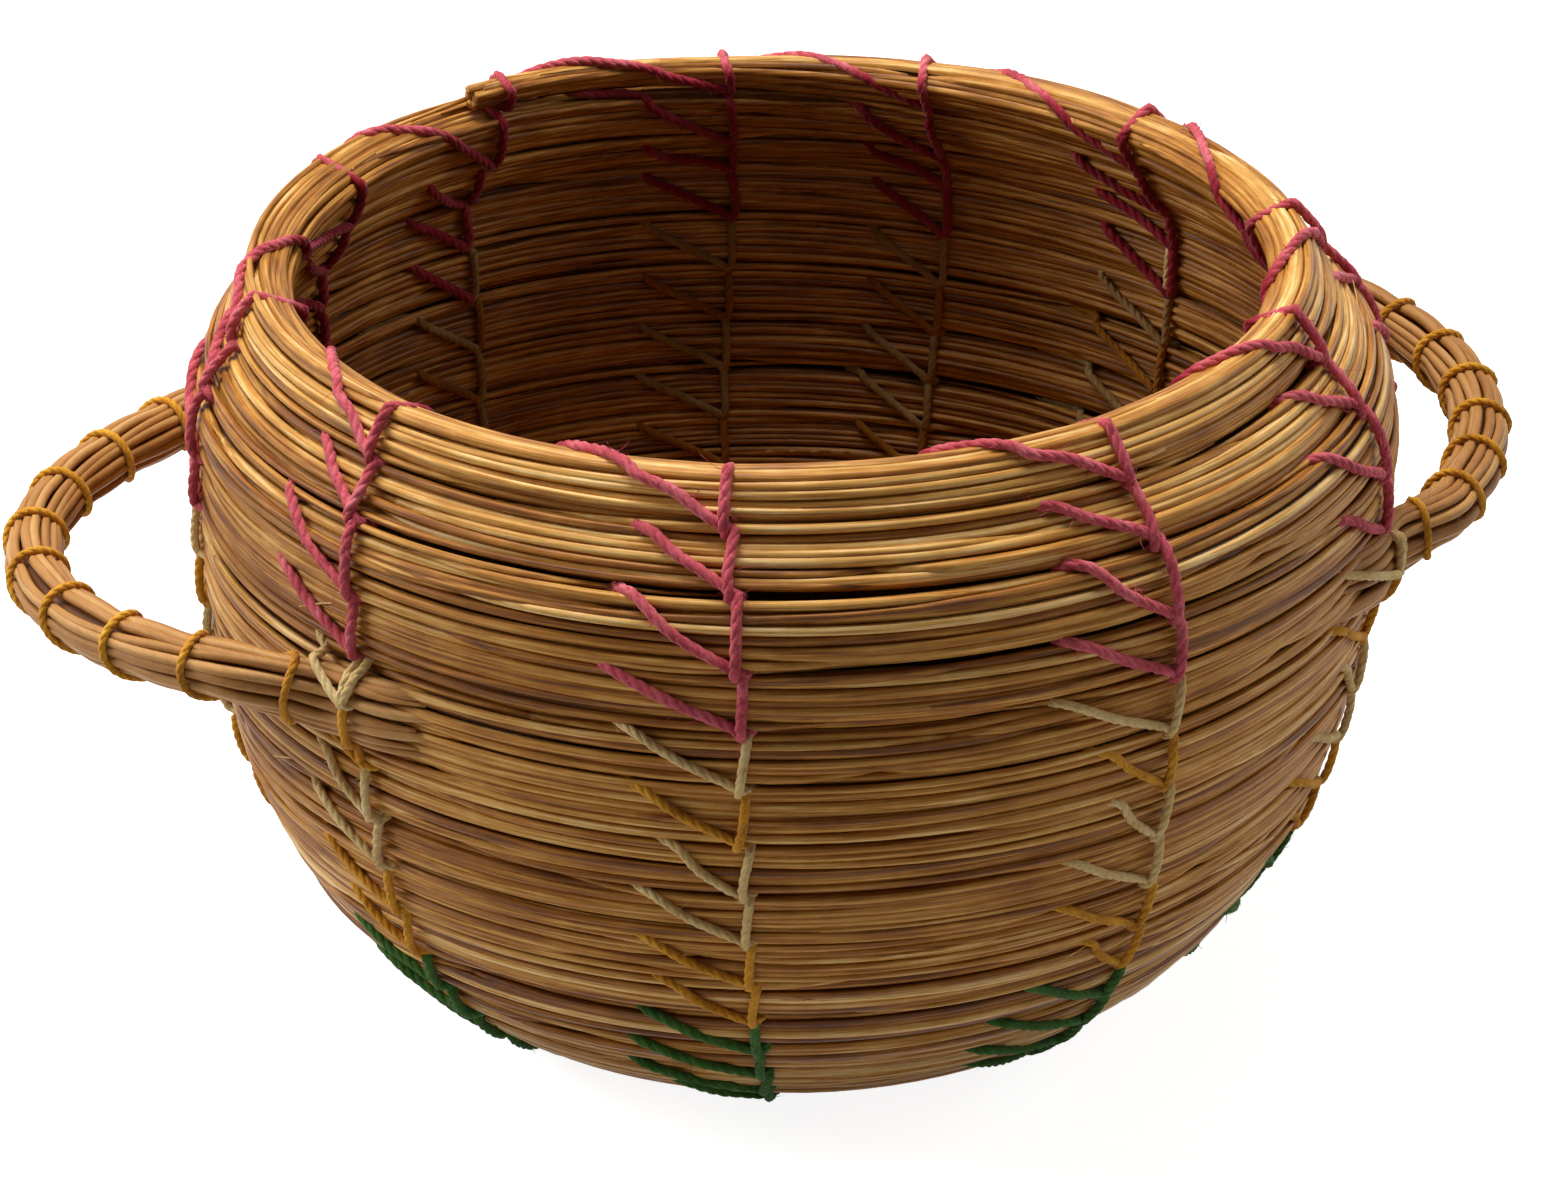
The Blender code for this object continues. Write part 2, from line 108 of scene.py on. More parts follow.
# %% Draw the wall's section
AXIS = np.array([2.142, 0.244]) * MM
REST_RADIUS = 36.0 * MM
FLAT_WIDTH = 6.2 * MM
DOME_RISE = 4.0 * MM
BELLY = np.array([66.3, 63.6]) * MM
RIM = np.array([58.9, 84.9]) * MM
FOOT_ANGLE = 26.0
RIM_ANGLE = 115.0
FOOT_PULL = 19.52 * MM
BELLY_PULL_BELOW = 32.03 * MM
BELLY_PULL_ABOVE = 17.04 * MM
RIM_PULL = 14.06 * MM
BUNDLE_WIDTH = 6.2 * MM
FLAT_CUT = 0.5 * MM
SECTION_STEPS = 200
UP = np.array([0.0, 1.0])


def way(angle):
    return np.array([math.cos(math.radians(angle)), math.sin(math.radians(angle))])


def bezier(start, start_handle, end_handle, end):
    t = np.linspace(0.0, 1.0, SECTION_STEPS)[:, None]
    b = 1.0 - t
    return b**3 * start + 3 * b**2 * t * start_handle + 3 * b * t**2 * end_handle + t**3 * end


def wall_section():
    flat_height = BUNDLE_WIDTH / 2 - FLAT_CUT
    flat_start = REST_RADIUS - FLAT_WIDTH / 2
    radii = np.linspace(0.0, flat_start, SECTION_STEPS)
    dome = np.stack([radii, flat_height + DOME_RISE * (1 - (radii / flat_start) ** 2)], axis=1)
    foot = np.array([REST_RADIUS + FLAT_WIDTH / 2, flat_height])
    lower = bezier(foot, foot + FOOT_PULL * way(FOOT_ANGLE), BELLY - BELLY_PULL_BELOW * UP, BELLY)
    upper = bezier(BELLY, BELLY + BELLY_PULL_ABOVE * UP, RIM - RIM_PULL * way(RIM_ANGLE), RIM)
    past_rim = RIM + 20 * MM * way(RIM_ANGLE)
    points = np.concatenate([dome, lower, upper[1:], past_rim[None]])
    steps = np.linalg.norm(np.diff(points, axis=0), axis=1)
    lengths = np.concatenate([[0.0], np.cumsum(steps)])
    return points, lengths - lengths[SECTION_STEPS - 1] - FLAT_WIDTH / 2


SECTION, SECTION_LENGTHS = wall_section()
WALL_LENGTH = SECTION_LENGTHS[-2]
TANGENT_REACH = 1.5 * MM
print(f"wall from foot to rim {WALL_LENGTH / MM:.1f} mm")


def on_section(distance):
    radius = np.interp(distance, SECTION_LENGTHS, SECTION[:, 0])
    height = np.interp(distance, SECTION_LENGTHS, SECTION[:, 1])
    return np.stack([radius, height], axis=-1)


def section_out(distance):
    """The way out of the basket, square to the wall."""
    along = on_section(distance + TANGENT_REACH) - on_section(distance - TANGENT_REACH)
    along = along / np.linalg.norm(along, axis=-1, keepdims=True)
    return np.stack([along[..., 1], -along[..., 0]], axis=-1)


# %% [markdown]
# ## The coil's route
# The bundle doesn't climb evenly. A maker keeps a round level for as long as
# possible and then lets it step up onto the one below, so each turn here is
# level first and eases up by one row in a share of the turn. Rows also grow
# from the base to the rim, as the needles are fed in more thickly.
# Every later piece asks this route where the coil is, so a row, a stitch and
# a handle can't drift apart.

# %% Follow the coil from the base to the rim
WALL_ROWS = 15
BASE_TURNS = 5.6
BASE_PITCH = 5.8 * MM
COIL_END = 131.5
CLIMB_START = 40.0
RIM_CLIMB_SHARE = 0.28
BASE_CLIMB_SHARE = 1.0
START_SCALE = 0.5
END_SCALE = 0.5
START_TAPER = 200.0
END_TAPER = 60.0
END_STUMP = 24.0
SWAY_HEIGHTS = np.array([0.0, 20.4, 45.0, 67.9, 90.0]) * MM
SWAY = np.array([0.0, 0.0, 0.5, 1.5, -0.6]) * MM
RIM_PITCH = 2 * WALL_LENGTH / WALL_ROWS - BASE_PITCH
END_AZIMUTH = 360.0 * WALL_ROWS + COIL_END
START_AZIMUTH = CLIMB_START - 360.0 * BASE_TURNS


def ease(share):
    share = np.clip(share, 0.0, 1.0)
    return share * share * (3 - 2 * share)


def row_at(azimuth):
    turns = (azimuth - CLIMB_START) / 360.0
    height_share = (turns + BASE_TURNS) / (WALL_ROWS + BASE_TURNS)
    climb_share = BASE_CLIMB_SHARE + (RIM_CLIMB_SHARE - BASE_CLIMB_SHARE) * height_share
    whole = np.floor(turns)
    return whole + ease((turns - whole) / climb_share)


def coil_size(azimuth):
    """Distance up the wall, half width and half height of the bundle."""
    row = row_at(azimuth)
    above = np.maximum(0.0, row)
    growth = (RIM_PITCH - BASE_PITCH) / WALL_ROWS
    pitch = BASE_PITCH + growth * above
    opening = START_SCALE + (1 - START_SCALE) * ease((azimuth - START_AZIMUTH) / START_TAPER)
    closing = END_SCALE + (1 - END_SCALE) * ease((END_AZIMUTH - END_STUMP - azimuth) / END_TAPER)
    scale = opening * closing
    half_height = pitch / 2 * scale
    seat = np.where(row > WALL_ROWS - 1, pitch / 2 - half_height, 0.0)
    distance = BASE_PITCH * row + growth * above**2 / 2 - seat
    return distance, BUNDLE_WIDTH / 2 * scale, half_height


def sway(height):
    """No hand-sewn wall is quite round: how far to the right it stands at that height."""
    return np.interp(height, SWAY_HEIGHTS, SWAY)


def on_coil(azimuth, out, along):
    """Points measured from the middle of the bundle: out of the basket, and up the wall."""
    distance = coil_size(azimuth)[0] + along
    place = on_section(distance) + np.asarray(out)[..., None] * section_out(distance)
    angle = np.radians(azimuth)
    x = AXIS[0] + place[..., 0] * np.cos(angle) + sway(place[..., 1])
    y = AXIS[1] + place[..., 0] * np.sin(angle)
    return np.stack([x, y, place[..., 1]], axis=-1)


def lengths_along(points):
    steps = np.linalg.norm(np.diff(points, axis=0), axis=1)
    return np.concatenate([[0.0], np.cumsum(steps)])


ROUTE = np.linspace(START_AZIMUTH, END_AZIMUTH, 12000)
ROUTE_LENGTHS = lengths_along(on_coil(ROUTE, np.zeros(len(ROUTE)), 0.0))
COIL_LENGTH = ROUTE_LENGTHS[-1]
print(f"the bundle is {COIL_LENGTH:.2f} m long")


def azimuth_after(length):
    return np.interp(length, ROUTE_LENGTHS, ROUTE)


def bundle_after(length):
    """The coil's azimuth at a length along it, and half the width and height of the bundle."""
    azimuth = azimuth_after(length)
    return azimuth, *coil_size(azimuth)[1:]


def shortest_turn(degrees):
    """The same turn, between half a round back and half a round on."""
    return (degrees + 180) % 360 - 180


def degrees_of(length, azimuth):
    """The angle that a length along the coil takes up there."""
    return np.degrees(length / on_section(coil_size(azimuth)[0])[..., 0])


# %% Set out the stitch columns
COLUMNS = (9, 41, 71, 96, 123, 154, 193, 226, 264, 304, 339)
COLUMN_LEAN = 3.0


def column_crossings():
    """Every place where a stitch column crosses the coil, from the base to the rim."""
    found = []
    for turn in range(-math.ceil(BASE_TURNS) - 1, WALL_ROWS + 1):
        for column in COLUMNS:
            azimuth = 360.0 * turn + column
            rows_down = min(WALL_ROWS, (END_AZIMUTH - azimuth) / 360.0)
            azimuth += COLUMN_LEAN * rows_down / WALL_ROWS
            if START_AZIMUTH < azimuth < END_AZIMUTH:
                found.append(azimuth)
    return np.array(sorted(found))


CROSSINGS = column_crossings()
CROSSING_LENGTHS = np.interp(CROSSINGS, ROUTE, ROUTE_LENGTHS)
print(len(CROSSINGS), "stitches")

# %% [markdown]
# ## Tubes from curves
# A needle, a ply of thread and a stray fibre are all thin round things that
# follow a route. Sweeping each one by hand would need thousands of extrusions,
# so they are drawn as splines of one curve with a round bevel, and the curve
# is then made a mesh. A number for every needle goes into an attribute, which
# is how one material can give each needle a tone of its own.

# %% Turn routes into tubes
SIX_SIDES = 1
FOUR_SIDES = 0
MERGE_DISTANCE = 0.0001 * MM


def tubes(name, strands, material, bevel_resolution=SIX_SIDES, tones=None):
    """One mesh of round tubes. A strand is its points and its radius at each of them."""
    curve = bpy.data.curves.new(name, "CURVE")
    curve.dimensions = "3D"
    curve.bevel_depth = 1.0
    curve.bevel_resolution = bevel_resolution
    curve.use_fill_caps = True
    for points, radii in strands:
        spline = curve.splines.new("POLY")
        spline.points.add(len(points) - 1)
        spline.points.foreach_set("co", np.column_stack([points, np.ones(len(points))]).ravel())
        spline.points.foreach_set("radius", radii)
    drawn = put(name + "_curve", curve)
    evaluated = drawn.evaluated_get(bpy.context.evaluated_depsgraph_get())
    mesh = bpy.data.meshes.new_from_object(evaluated)
    mesh.name = name
    bpy.data.objects.remove(drawn, do_unlink=True)
    bpy.data.curves.remove(curve)
    if tones is not None:
        sides = 4 + 2 * bevel_resolution
        caps = np.repeat(tones[::-1], 2 * sides)
        walls = np.repeat(tones, [len(points) * sides for points, _ in strands])
        mark_points(mesh, "tone", np.concatenate([caps, walls]))
    close_caps(mesh)
    return dress(name, mesh, material)


def mark_points(mesh, name, values):
    mark = mesh.attributes.new(name, "FLOAT", "POINT")
    mark.data.foreach_set("value", values.astype(np.float32))


def close_caps(mesh):
    """Joins each cap to the end of its tube, because the curve leaves them as separate faces."""
    shape = bmesh.new()
    shape.from_mesh(mesh)
    bmesh.ops.remove_doubles(shape, verts=shape.verts, dist=MERGE_DISTANCE)
    shape.to_mesh(mesh)
    shape.free()


def dress(name, mesh, material):
    mesh.shade_smooth()
    mesh.materials.clear()
    mesh.materials.append(material)
    piece = put(name, mesh)
    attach(piece, "root")
    triangles = sum(len(face.vertices) - 2 for face in mesh.polygons)
    print(f"{name}: {triangles} triangles")
    return piece


# %% [markdown]
# ## Dried pine needles
# A dried longleaf needle is a smooth, slightly glossy blade, golden where it
# was young and brown where it was old. Its colour runs in faint lines along
# it. The lines can't follow each strand cheaply, but all strands run round
# the basket, so a noise that is long round the axis and very short up and
# across the wall gives the same streaks without a seam.

# %% Join the nodes of a material
class Graph:
    """The nodes of a material or of the world, with short ways to add to them."""

    def __init__(self, owner):
        owner.use_nodes = True
        self.owner = owner
        self.nodes = owner.node_tree.nodes
        self.links = owner.node_tree.links

    def feed(self, node, inputs):
        """Sets each input to a number or a colour, or links it to another node's output."""
        for name, value in inputs.items():
            if isinstance(value, bpy.types.NodeSocket):
                self.links.new(value, node.inputs[name])
            else:
                node.inputs[name].default_value = value

    def add(self, kind, inputs=None, **settings):
        node = self.nodes.new("ShaderNode" + kind)
        for name, value in settings.items():
            setattr(node, name, value)
        self.feed(node, inputs or {})
        return node

    def math(self, operation, first, second=0.0):
        return self.add("Math", {0: first, 1: second}, operation=operation).outputs[0]

    def place(self):
        return self.add("TexCoord").outputs["Object"]

    def attribute(self, name):
        return self.add("Attribute", attribute_name=name).outputs["Fac"]

    def noise(self, vector, scale, detail, dimensions="3D", **more):
        inputs = {"Vector": vector, "Scale": scale, "Detail": detail, **more}
        return self.add("TexNoise", inputs, noise_dimensions=dimensions).outputs["Fac"]

    def ramp(self, factor, stops):
        node = self.add("ValToRGB", {"Fac": factor})
        elements = node.color_ramp.elements
        while len(elements) < len(stops):
            elements.new(0.5)
        for element, (position, colour) in zip(elements, stops):
            element.position = position
            element.color = (*colour, 1.0)
        return node.outputs["Color"]

    def bump(self, height, strength, distance):
        inputs = {"Height": height, "Strength": strength, "Distance": distance}
        return self.add("Bump", inputs).outputs["Normal"]

    def shade(self, inputs):
        self.feed(self.nodes["Principled BSDF"], inputs)
        return self.owner


# %% Make the needle materials
ROUND_SCALE = 6.0
ACROSS_SCALE = 3200.0
MOTTLE_SHARE = 0.32
FLECK_SHARE = 0.12


def streaks_round_axis(graph, place):
    """A noise that is long round the basket and short across a needle."""
    split = graph.add("SeparateXYZ", {0: place}).outputs
    x = graph.math("SUBTRACT", split["X"], float(AXIS[0]))
    y = graph.math("SUBTRACT", split["Y"], float(AXIS[1]))
    squares = graph.math("ADD", graph.math("MULTIPLY", x, x), graph.math("MULTIPLY", y, y))
    radius = graph.math("SQRT", squares)
    joined = graph.add("CombineXYZ", {
        "X": graph.math("MULTIPLY", graph.math("DIVIDE", x, radius), ROUND_SCALE),
        "Y": graph.math("MULTIPLY", graph.math("DIVIDE", y, radius), ROUND_SCALE),
        "Z": graph.math("MULTIPLY", split["Z"], ACROSS_SCALE),
    }).outputs[0]
    return graph.noise(joined, 1.0, 2.0, "4D", W=graph.math("MULTIPLY", radius, ACROSS_SCALE))


def needle_material(name, stops, roughness, streak_share, relief):
    graph = Graph(bpy.data.materials.new(name))
    place = graph.place()
    streaks = streaks_round_axis(graph, place)
    mottle = graph.noise(place, 140.0, 3.0)
    flecks = graph.noise(place, 700.0, 2.0)
    factor = graph.attribute("tone")
    for noise, share in ((streaks, streak_share), (mottle, MOTTLE_SHARE), (flecks, FLECK_SHARE)):
        change = graph.math("MULTIPLY", graph.math("SUBTRACT", noise, 0.5), share)
        factor = graph.math("ADD", factor, change)
    return graph.shade({
        "Base Color": graph.ramp(factor, stops),
        "Roughness": roughness,
        "Specular IOR Level": 0.22,
        "Normal": graph.bump(streaks, relief, 0.1 * MM),
    })


WALL_TONES = [
    (0.00, (0.060, 0.015, 0.002)),
    (0.28, (0.225, 0.072, 0.008)),
    (0.52, (0.440, 0.180, 0.026)),
    (0.75, (0.655, 0.345, 0.080)),
    (1.00, (0.890, 0.610, 0.260)),
]
HANDLE_TONES = [
    (0.00, (0.140, 0.046, 0.009)),
    (0.35, (0.325, 0.132, 0.030)),
    (0.65, (0.455, 0.215, 0.060)),
    (1.00, (0.600, 0.340, 0.120)),
]
NEEDLES = needle_material("dried_needles", WALL_TONES, 0.45, 1.3, 0.35)
HANDLE_NEEDLES = needle_material("handle_needles", HANDLE_TONES, 0.5, 0.45, 0.10)
print("needle materials ready")

# %% [markdown]
# ## Needles of the coil
# Twenty needles lie round the outside of the bundle at any place. None is as
# long as a turn: the maker keeps pushing new ones in, so each lane of the
# bundle is a chain of needles. Where one ends it dives under its neighbours
# and the next rises in its place. The lanes lie almost straight and close
# together, every second one a little deeper, so that two neighbours never
# share a surface. The whole bundle twists a little, and every stitch pinches
# it. A few thin needles cross the others, as they do where one slipped out,
# and some lie in the grooves, where they make the rows run into one another.

# %% Describe how needles stray
rng = np.random.default_rng(7)
LANES = 20
NEEDLE_RADII = (0.38 * MM, 0.54 * MM)
RIM_EXTRA_RADIUS = 0.16 * MM
NEEDLE_LENGTHS = (0.16, 0.34)
NEEDLE_STEP = 3.0 * MM
FEWEST_STEPS = 6
SEAT_SHARE = 0.92
DIVE_LENGTH = 24 * MM
DIVE_DEPTH = 2.0 * MM
STRAY_DEPTH = 0.16 * MM
STRAY_LANES = 0.24
DEPTH_WAVES = (0.07, 0.2)
SIDEWAYS_WAVES = (0.12, 0.45)
ODD_LANE_DEPTH = 0.15 * MM
TWIST_LANES = 1.7
SQUARENESS = 3.8
PINCH_SHARE = 0.03
PINCH_REACH = 3.0 * MM
THIN_END = 0.35


def wander(shortest, longest, waves=5):
    """A smooth random curve along a length, between about -1 and 1."""
    rates = 2 * math.pi / rng.uniform(shortest, longest, waves)
    starts = rng.uniform(0, 2 * math.pi, waves)
    return lambda length: np.sin(np.outer(length, rates) + starts).sum(axis=1) / math.sqrt(waves)


def outline_of_bundle():
    """A rounded square, as a share of its edge and the place on it."""
    turn = np.linspace(0, 2 * math.pi, 721)
    out = np.sign(np.cos(turn)) * np.abs(np.cos(turn)) ** (2 / SQUARENESS)
    along = np.sign(np.sin(turn)) * np.abs(np.sin(turn)) ** (2 / SQUARENESS)
    lengths = lengths_along(np.column_stack([out, along]))
    return lengths / lengths[-1], out, along


EDGE_SHARE, EDGE_OUT, EDGE_ALONG = outline_of_bundle()


def round_bundle(share):
    """Place on the bundle's edge: 0 faces out of the basket, 0.25 faces the rim."""
    share = np.mod(share, 1.0)
    return np.interp(share, EDGE_SHARE, EDGE_OUT), np.interp(share, EDGE_SHARE, EDGE_ALONG)


def pinch(length):
    """How far the stitches draw the bundle in there, as a share of its size."""
    nearest = np.searchsorted(CROSSING_LENGTHS, length)
    before = CROSSING_LENGTHS[np.clip(nearest - 1, 0, len(CROSSING_LENGTHS) - 1)]
    after = CROSSING_LENGTHS[np.clip(nearest, 0, len(CROSSING_LENGTHS) - 1)]
    away = np.minimum(np.abs(length - before), np.abs(length - after))
    return PINCH_SHARE * np.exp(-((away / PINCH_REACH) ** 2))


twist = wander(0.5, 1.6, 4)


def thinned(radius, risen):
    """A needle thins where it dives under its neighbours."""
    return radius * (THIN_END + (1 - THIN_END) * risen)


def above_floor(points, radius):
    points[:, 2] = np.maximum(points[:, 2], radius)
    return points


def in_bundle(length, share, depth, radii):
    """Points and radii of a strand, from its place on the bundle's edge and its depth under it."""
    azimuth, half_width, half_height = bundle_after(length)
    size = 1 - pinch(length)
    out, along = round_bundle(share)
    out = out * np.maximum(half_width * size - depth, 0.0)
    along = along * np.maximum(half_height * size - depth, 0.0)
    return above_floor(on_coil(azimuth, out, along), radii), radii


def needle_route(start, end, lane, depth_stray, radius, blunt=False, raised=0.0):
    """Points and radii of one needle that lies in a lane from start to end."""
    length = np.linspace(start, end, max(FEWEST_STEPS, int((end - start) / NEEDLE_STEP)))
    from_end = length - start if blunt else np.minimum(length - start, end - length)
    risen = ease(from_end / DIVE_LENGTH)
    stray = STRAY_DEPTH * (1 + depth_stray(length))
    depth = SEAT_SHARE * radius + DIVE_DEPTH * (1 - risen) + stray - raised
    share = (lane(length) + TWIST_LANES * twist(length)) / LANES
    return in_bundle(length, share, depth, thinned(radius, risen))


# %% Lay the needles of the coil
BLUNT_LANES = (0, 1, 3, 4, 6, 8, 10, 12, 14, 16, 17, 19)
BLUNT_GAPS = (0.0, 2.5 * MM)
OTHER_GAPS = (12 * MM, 70 * MM)
FIRST_NEEDLE_CUTS = (0.0, 0.2)
OVERLAP = 1.2 * DIVE_LENGTH
TONE = 0.57
TONE_SPREAD = 0.17
# Painted shade: needles that face into the basket get a darker, more even tone.
PAINTED_INSIDE_SHADE = 0.18
PAINTED_INSIDE_EVENNESS = 0.09


def tone_of(lane):
    """Needles that face into the basket are toned darker and more even, as painted shade inside the
    basket.
    """
    facing_in = 0.5 - 0.5 * math.cos(2 * math.pi * lane / LANES)
    return rng.normal(TONE, TONE_SPREAD - PAINTED_INSIDE_EVENNESS * facing_in) - PAINTED_INSIDE_SHADE * facing_in


def coil_needles():
    """Every needle as its start, its route and its tone, lane by lane."""
    found = []
    for lane in range(LANES):
        sideways = wander(*SIDEWAYS_WAVES, 4)

        def place(length, lane=lane, sideways=sideways):
            return lane + STRAY_LANES * sideways(length)

        blunt_lane = lane in BLUNT_LANES
        lane_end = COIL_LENGTH - rng.uniform(*(BLUNT_GAPS if blunt_lane else OTHER_GAPS))
        start = -rng.uniform(*FIRST_NEEDLE_CUTS)
        while start < lane_end:
            end = start + rng.uniform(*NEEDLE_LENGTHS)
            height_share = np.clip(row_at(azimuth_after(start)) / WALL_ROWS, 0, 1)
            radius = rng.uniform(*NEEDLE_RADII) + RIM_EXTRA_RADIUS * height_share
            last = min(end + OVERLAP, lane_end)
            blunt = blunt_lane and last == lane_end
            route = needle_route(max(start, 0.0), last, place, wander(*DEPTH_WAVES), radius, blunt,
                                 -ODD_LANE_DEPTH * (lane % 2))
            found.append((azimuth_after(max(start, 0.0)), route, tone_of(lane)))
            start = end
    return found


# %% Add needles that cross their neighbours
CROSSING_NEEDLES = 80
CROSSING_SHARES = (0.3, 0.97)
CROSSING_SIZES = (0.08, 0.18)
CROSSING_LANES = (-3.5, 12.0)
CROSSING_DRIFTS = (1.2, 2.6)
CROSSING_RADII = (0.36 * MM, 0.52 * MM)
CROSSING_STAND = 0.14 * MM


def crossing_needles():
    """Thin needles on top of the others, which drift from one lane towards the next but one."""
    found = []
    for _ in range(CROSSING_NEEDLES):
        start = rng.uniform(*CROSSING_SHARES) * COIL_LENGTH
        end = min(start + rng.uniform(*CROSSING_SIZES), COIL_LENGTH - 0.05)
        first = rng.uniform(*CROSSING_LANES)
        drift = rng.choice((-1, 1)) * rng.uniform(*CROSSING_DRIFTS)

        def place(length, first=first, drift=drift, start=start, end=end):
            return first + drift * ease((length - start) / (end - start))

        radius = rng.uniform(*CROSSING_RADII)
        route = needle_route(start, end, place, wander(*DEPTH_WAVES), radius, raised=CROSSING_STAND)
        found.append((azimuth_after(start), route, tone_of(first)))
    return found


# %% Add needles between the rows
BETWEEN_TRACKS = ((1, -0.7), (1, 0.0), (1, 0.7), (-1, -0.4), (-1, 0.5))
BETWEEN_RADII = (0.38 * MM, 0.58 * MM)
BETWEEN_LENGTHS = (0.08, 0.20)
BETWEEN_GAPS = (0.0, 0.10)
BETWEEN_SHARES = (0.30, 0.945)
BETWEEN_SINK = 0.10 * MM
BETWEEN_DIVE = 1.7 * MM
BETWEEN_SEAT = 0.98
BETWEEN_STRAY = 0.15
BETWEEN_WAVES = (0.05, 0.2)
BETWEEN_STEPS = 48
# Needles on the inner side are toned darker and more even, as painted shade inside the basket; the outer
# side's tones differ at random.
BETWEEN_TONES_AND_INSIDE_SHADE = {1: (0.56, 0.15), -1: (0.40, 0.08)}
LOOSE_NEEDLES = 14
LOOSE_LENGTHS = (9 * MM, 18 * MM)
LOOSE_RADII = (0.28 * MM, 0.42 * MM)
LOOSE_FROM = 0.35
LOOSE_BEFORE_END = 12
LOOSE_SHIFTS = (-14, 8)
LOOSE_HEIGHTS = (-0.6, 0.9)
LOOSE_DRIFTS = (-2.2, 2.2)
LOOSE_TAPER = 0.6
LOOSE_TONE = (0.78, 0.10)
LOOSE_STEPS = 12
SPLINTERS = 8
SPLINTER_LENGTHS = (4 * MM, 7 * MM)
SPLINTER_RADII = (0.07 * MM, 0.11 * MM)
LIFTS = (0.2 * MM, 0.7 * MM)
ROOT_DEPTH = 0.9 * MM


def needles_between_rows():
    """Needles that lie in the groove above a row, so that the rows run into one another.

    Each track is a side of the wall and a height in the groove. No two needles share a place.
    """
    found = []
    for side, height in BETWEEN_TRACKS:
        start = BETWEEN_SHARES[0] * COIL_LENGTH
        while start < BETWEEN_SHARES[1] * COIL_LENGTH:
            end = start + rng.uniform(*BETWEEN_LENGTHS)
            length = np.linspace(start, end, BETWEEN_STEPS)
            azimuth, half_width, half_height = bundle_after(length)
            radius = rng.uniform(*BETWEEN_RADII)
            risen = ease(np.minimum(length - start, end - length) / DIVE_LENGTH)
            out = half_width - BETWEEN_SEAT * radius - BETWEEN_SINK - BETWEEN_DIVE * (1 - risen)
            stray = BETWEEN_STRAY * wander(*BETWEEN_WAVES)(length)
            along = half_height + (height + stray) * MM
            route = on_coil(azimuth, side * out, along)
            found.append(((route, thinned(radius, risen)), rng.normal(*BETWEEN_TONES_AND_INSIDE_SHADE[side])))
            start = end + rng.uniform(*BETWEEN_GAPS)
    return found


def loose_needles():
    """Short needle ends that lift off the wall near the stitches, and hair-thin splinters."""
    found = []
    crossings = CROSSING_LENGTHS[CROSSING_LENGTHS > LOOSE_FROM * COIL_LENGTH][:-LOOSE_BEFORE_END]
    for number in range(LOOSE_NEEDLES + SPLINTERS):
        splinter = number >= LOOSE_NEEDLES
        longest = rng.uniform(*(SPLINTER_LENGTHS if splinter else LOOSE_LENGTHS))
        start = rng.choice(crossings) + rng.uniform(*LOOSE_SHIFTS) * MM
        share = np.linspace(0.0, 1.0, LOOSE_STEPS)
        length = start + share * longest * rng.choice((-1, 1))
        azimuth, half_width, half_height = bundle_after(length)
        radius = rng.uniform(*(SPLINTER_RADII if splinter else LOOSE_RADII))
        lift = rng.uniform(*LIFTS)
        out = half_width - radius - ROOT_DEPTH * (1 - share) ** 2 + (lift + radius) * share**2
        drift = half_height * rng.uniform(*LOOSE_HEIGHTS)
        along = drift + rng.uniform(*LOOSE_DRIFTS) * MM * share**1.5
        route = on_coil(azimuth, out, along)
        found.append(((route, radius * (1 - LOOSE_TAPER * share**3)), rng.normal(*LOOSE_TONE)))
    return found


NEEDLE_GROUPS = (
    ("needles_of_base", -1e6, 360 * 3.0),
    ("needles_of_lower_wall", 360 * 3.0, 360 * 8.0),
    ("needles_of_belly", 360 * 8.0, 360 * 12.0),
    ("needles_of_rim", 360 * 12.0, 1e6),
)


def lay_coil():
    needles = coil_needles() + crossing_needles()
    for name, first, last in NEEDLE_GROUPS:
        chosen = [needle for needle in needles if first <= needle[0] < last]
        piece = tubes(name, [needle[1] for needle in chosen], NEEDLES,
                      tones=[needle[2] for needle in chosen])
        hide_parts("needle_coil")
    strays = needles_between_rows() + loose_needles()
    piece = tubes("needles_between_rows", [stray[0] for stray in strays], NEEDLES,
                  tones=[stray[1] for stray in strays])
    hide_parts("needle_coil")
    print(len(needles) + len(strays), "needles in the coil")


lay_coil()

# %% [markdown]
# ## Needles inside the bundle
# More needles lie under the outer ones. They show only as dark lines in the cracks, so one layer of
# plain strands is enough for them; it is toned darker, as painted shade in the cracks. Inside it a few
# thick strands, coloured almost black as painted shade, stop the light that would pass through the wall.

# %% Fill the bundle
UNDER_LANES = 13
UNDER_DEPTH = 1.15 * MM
UNDER_RADIUS = 0.62 * MM
# Painted shade: the under layer is toned darker, to deepen the cracks between the needles.
UNDER_TONE_PAINTED_SHADE = -0.15
CORE_PLACES = (-1.0, -0.5, 0.0, 0.5)
CORE_RADIUS = 0.36
CORE_STEP = 4.5 * MM


def inner_material():
    graph = Graph(bpy.data.materials.new("needles_in_shade"))
    noise = graph.noise(graph.place(), 400.0, 3.0)
    # Painted shade: the core strands are coloured almost black.
    stops = [(0.3, (0.012, 0.005, 0.002)), (0.7, (0.035, 0.015, 0.005))]
    return graph.shade({
        "Base Color": graph.ramp(noise, stops),
        "Roughness": 1.0,
        "Specular IOR Level": 0.0,
    })


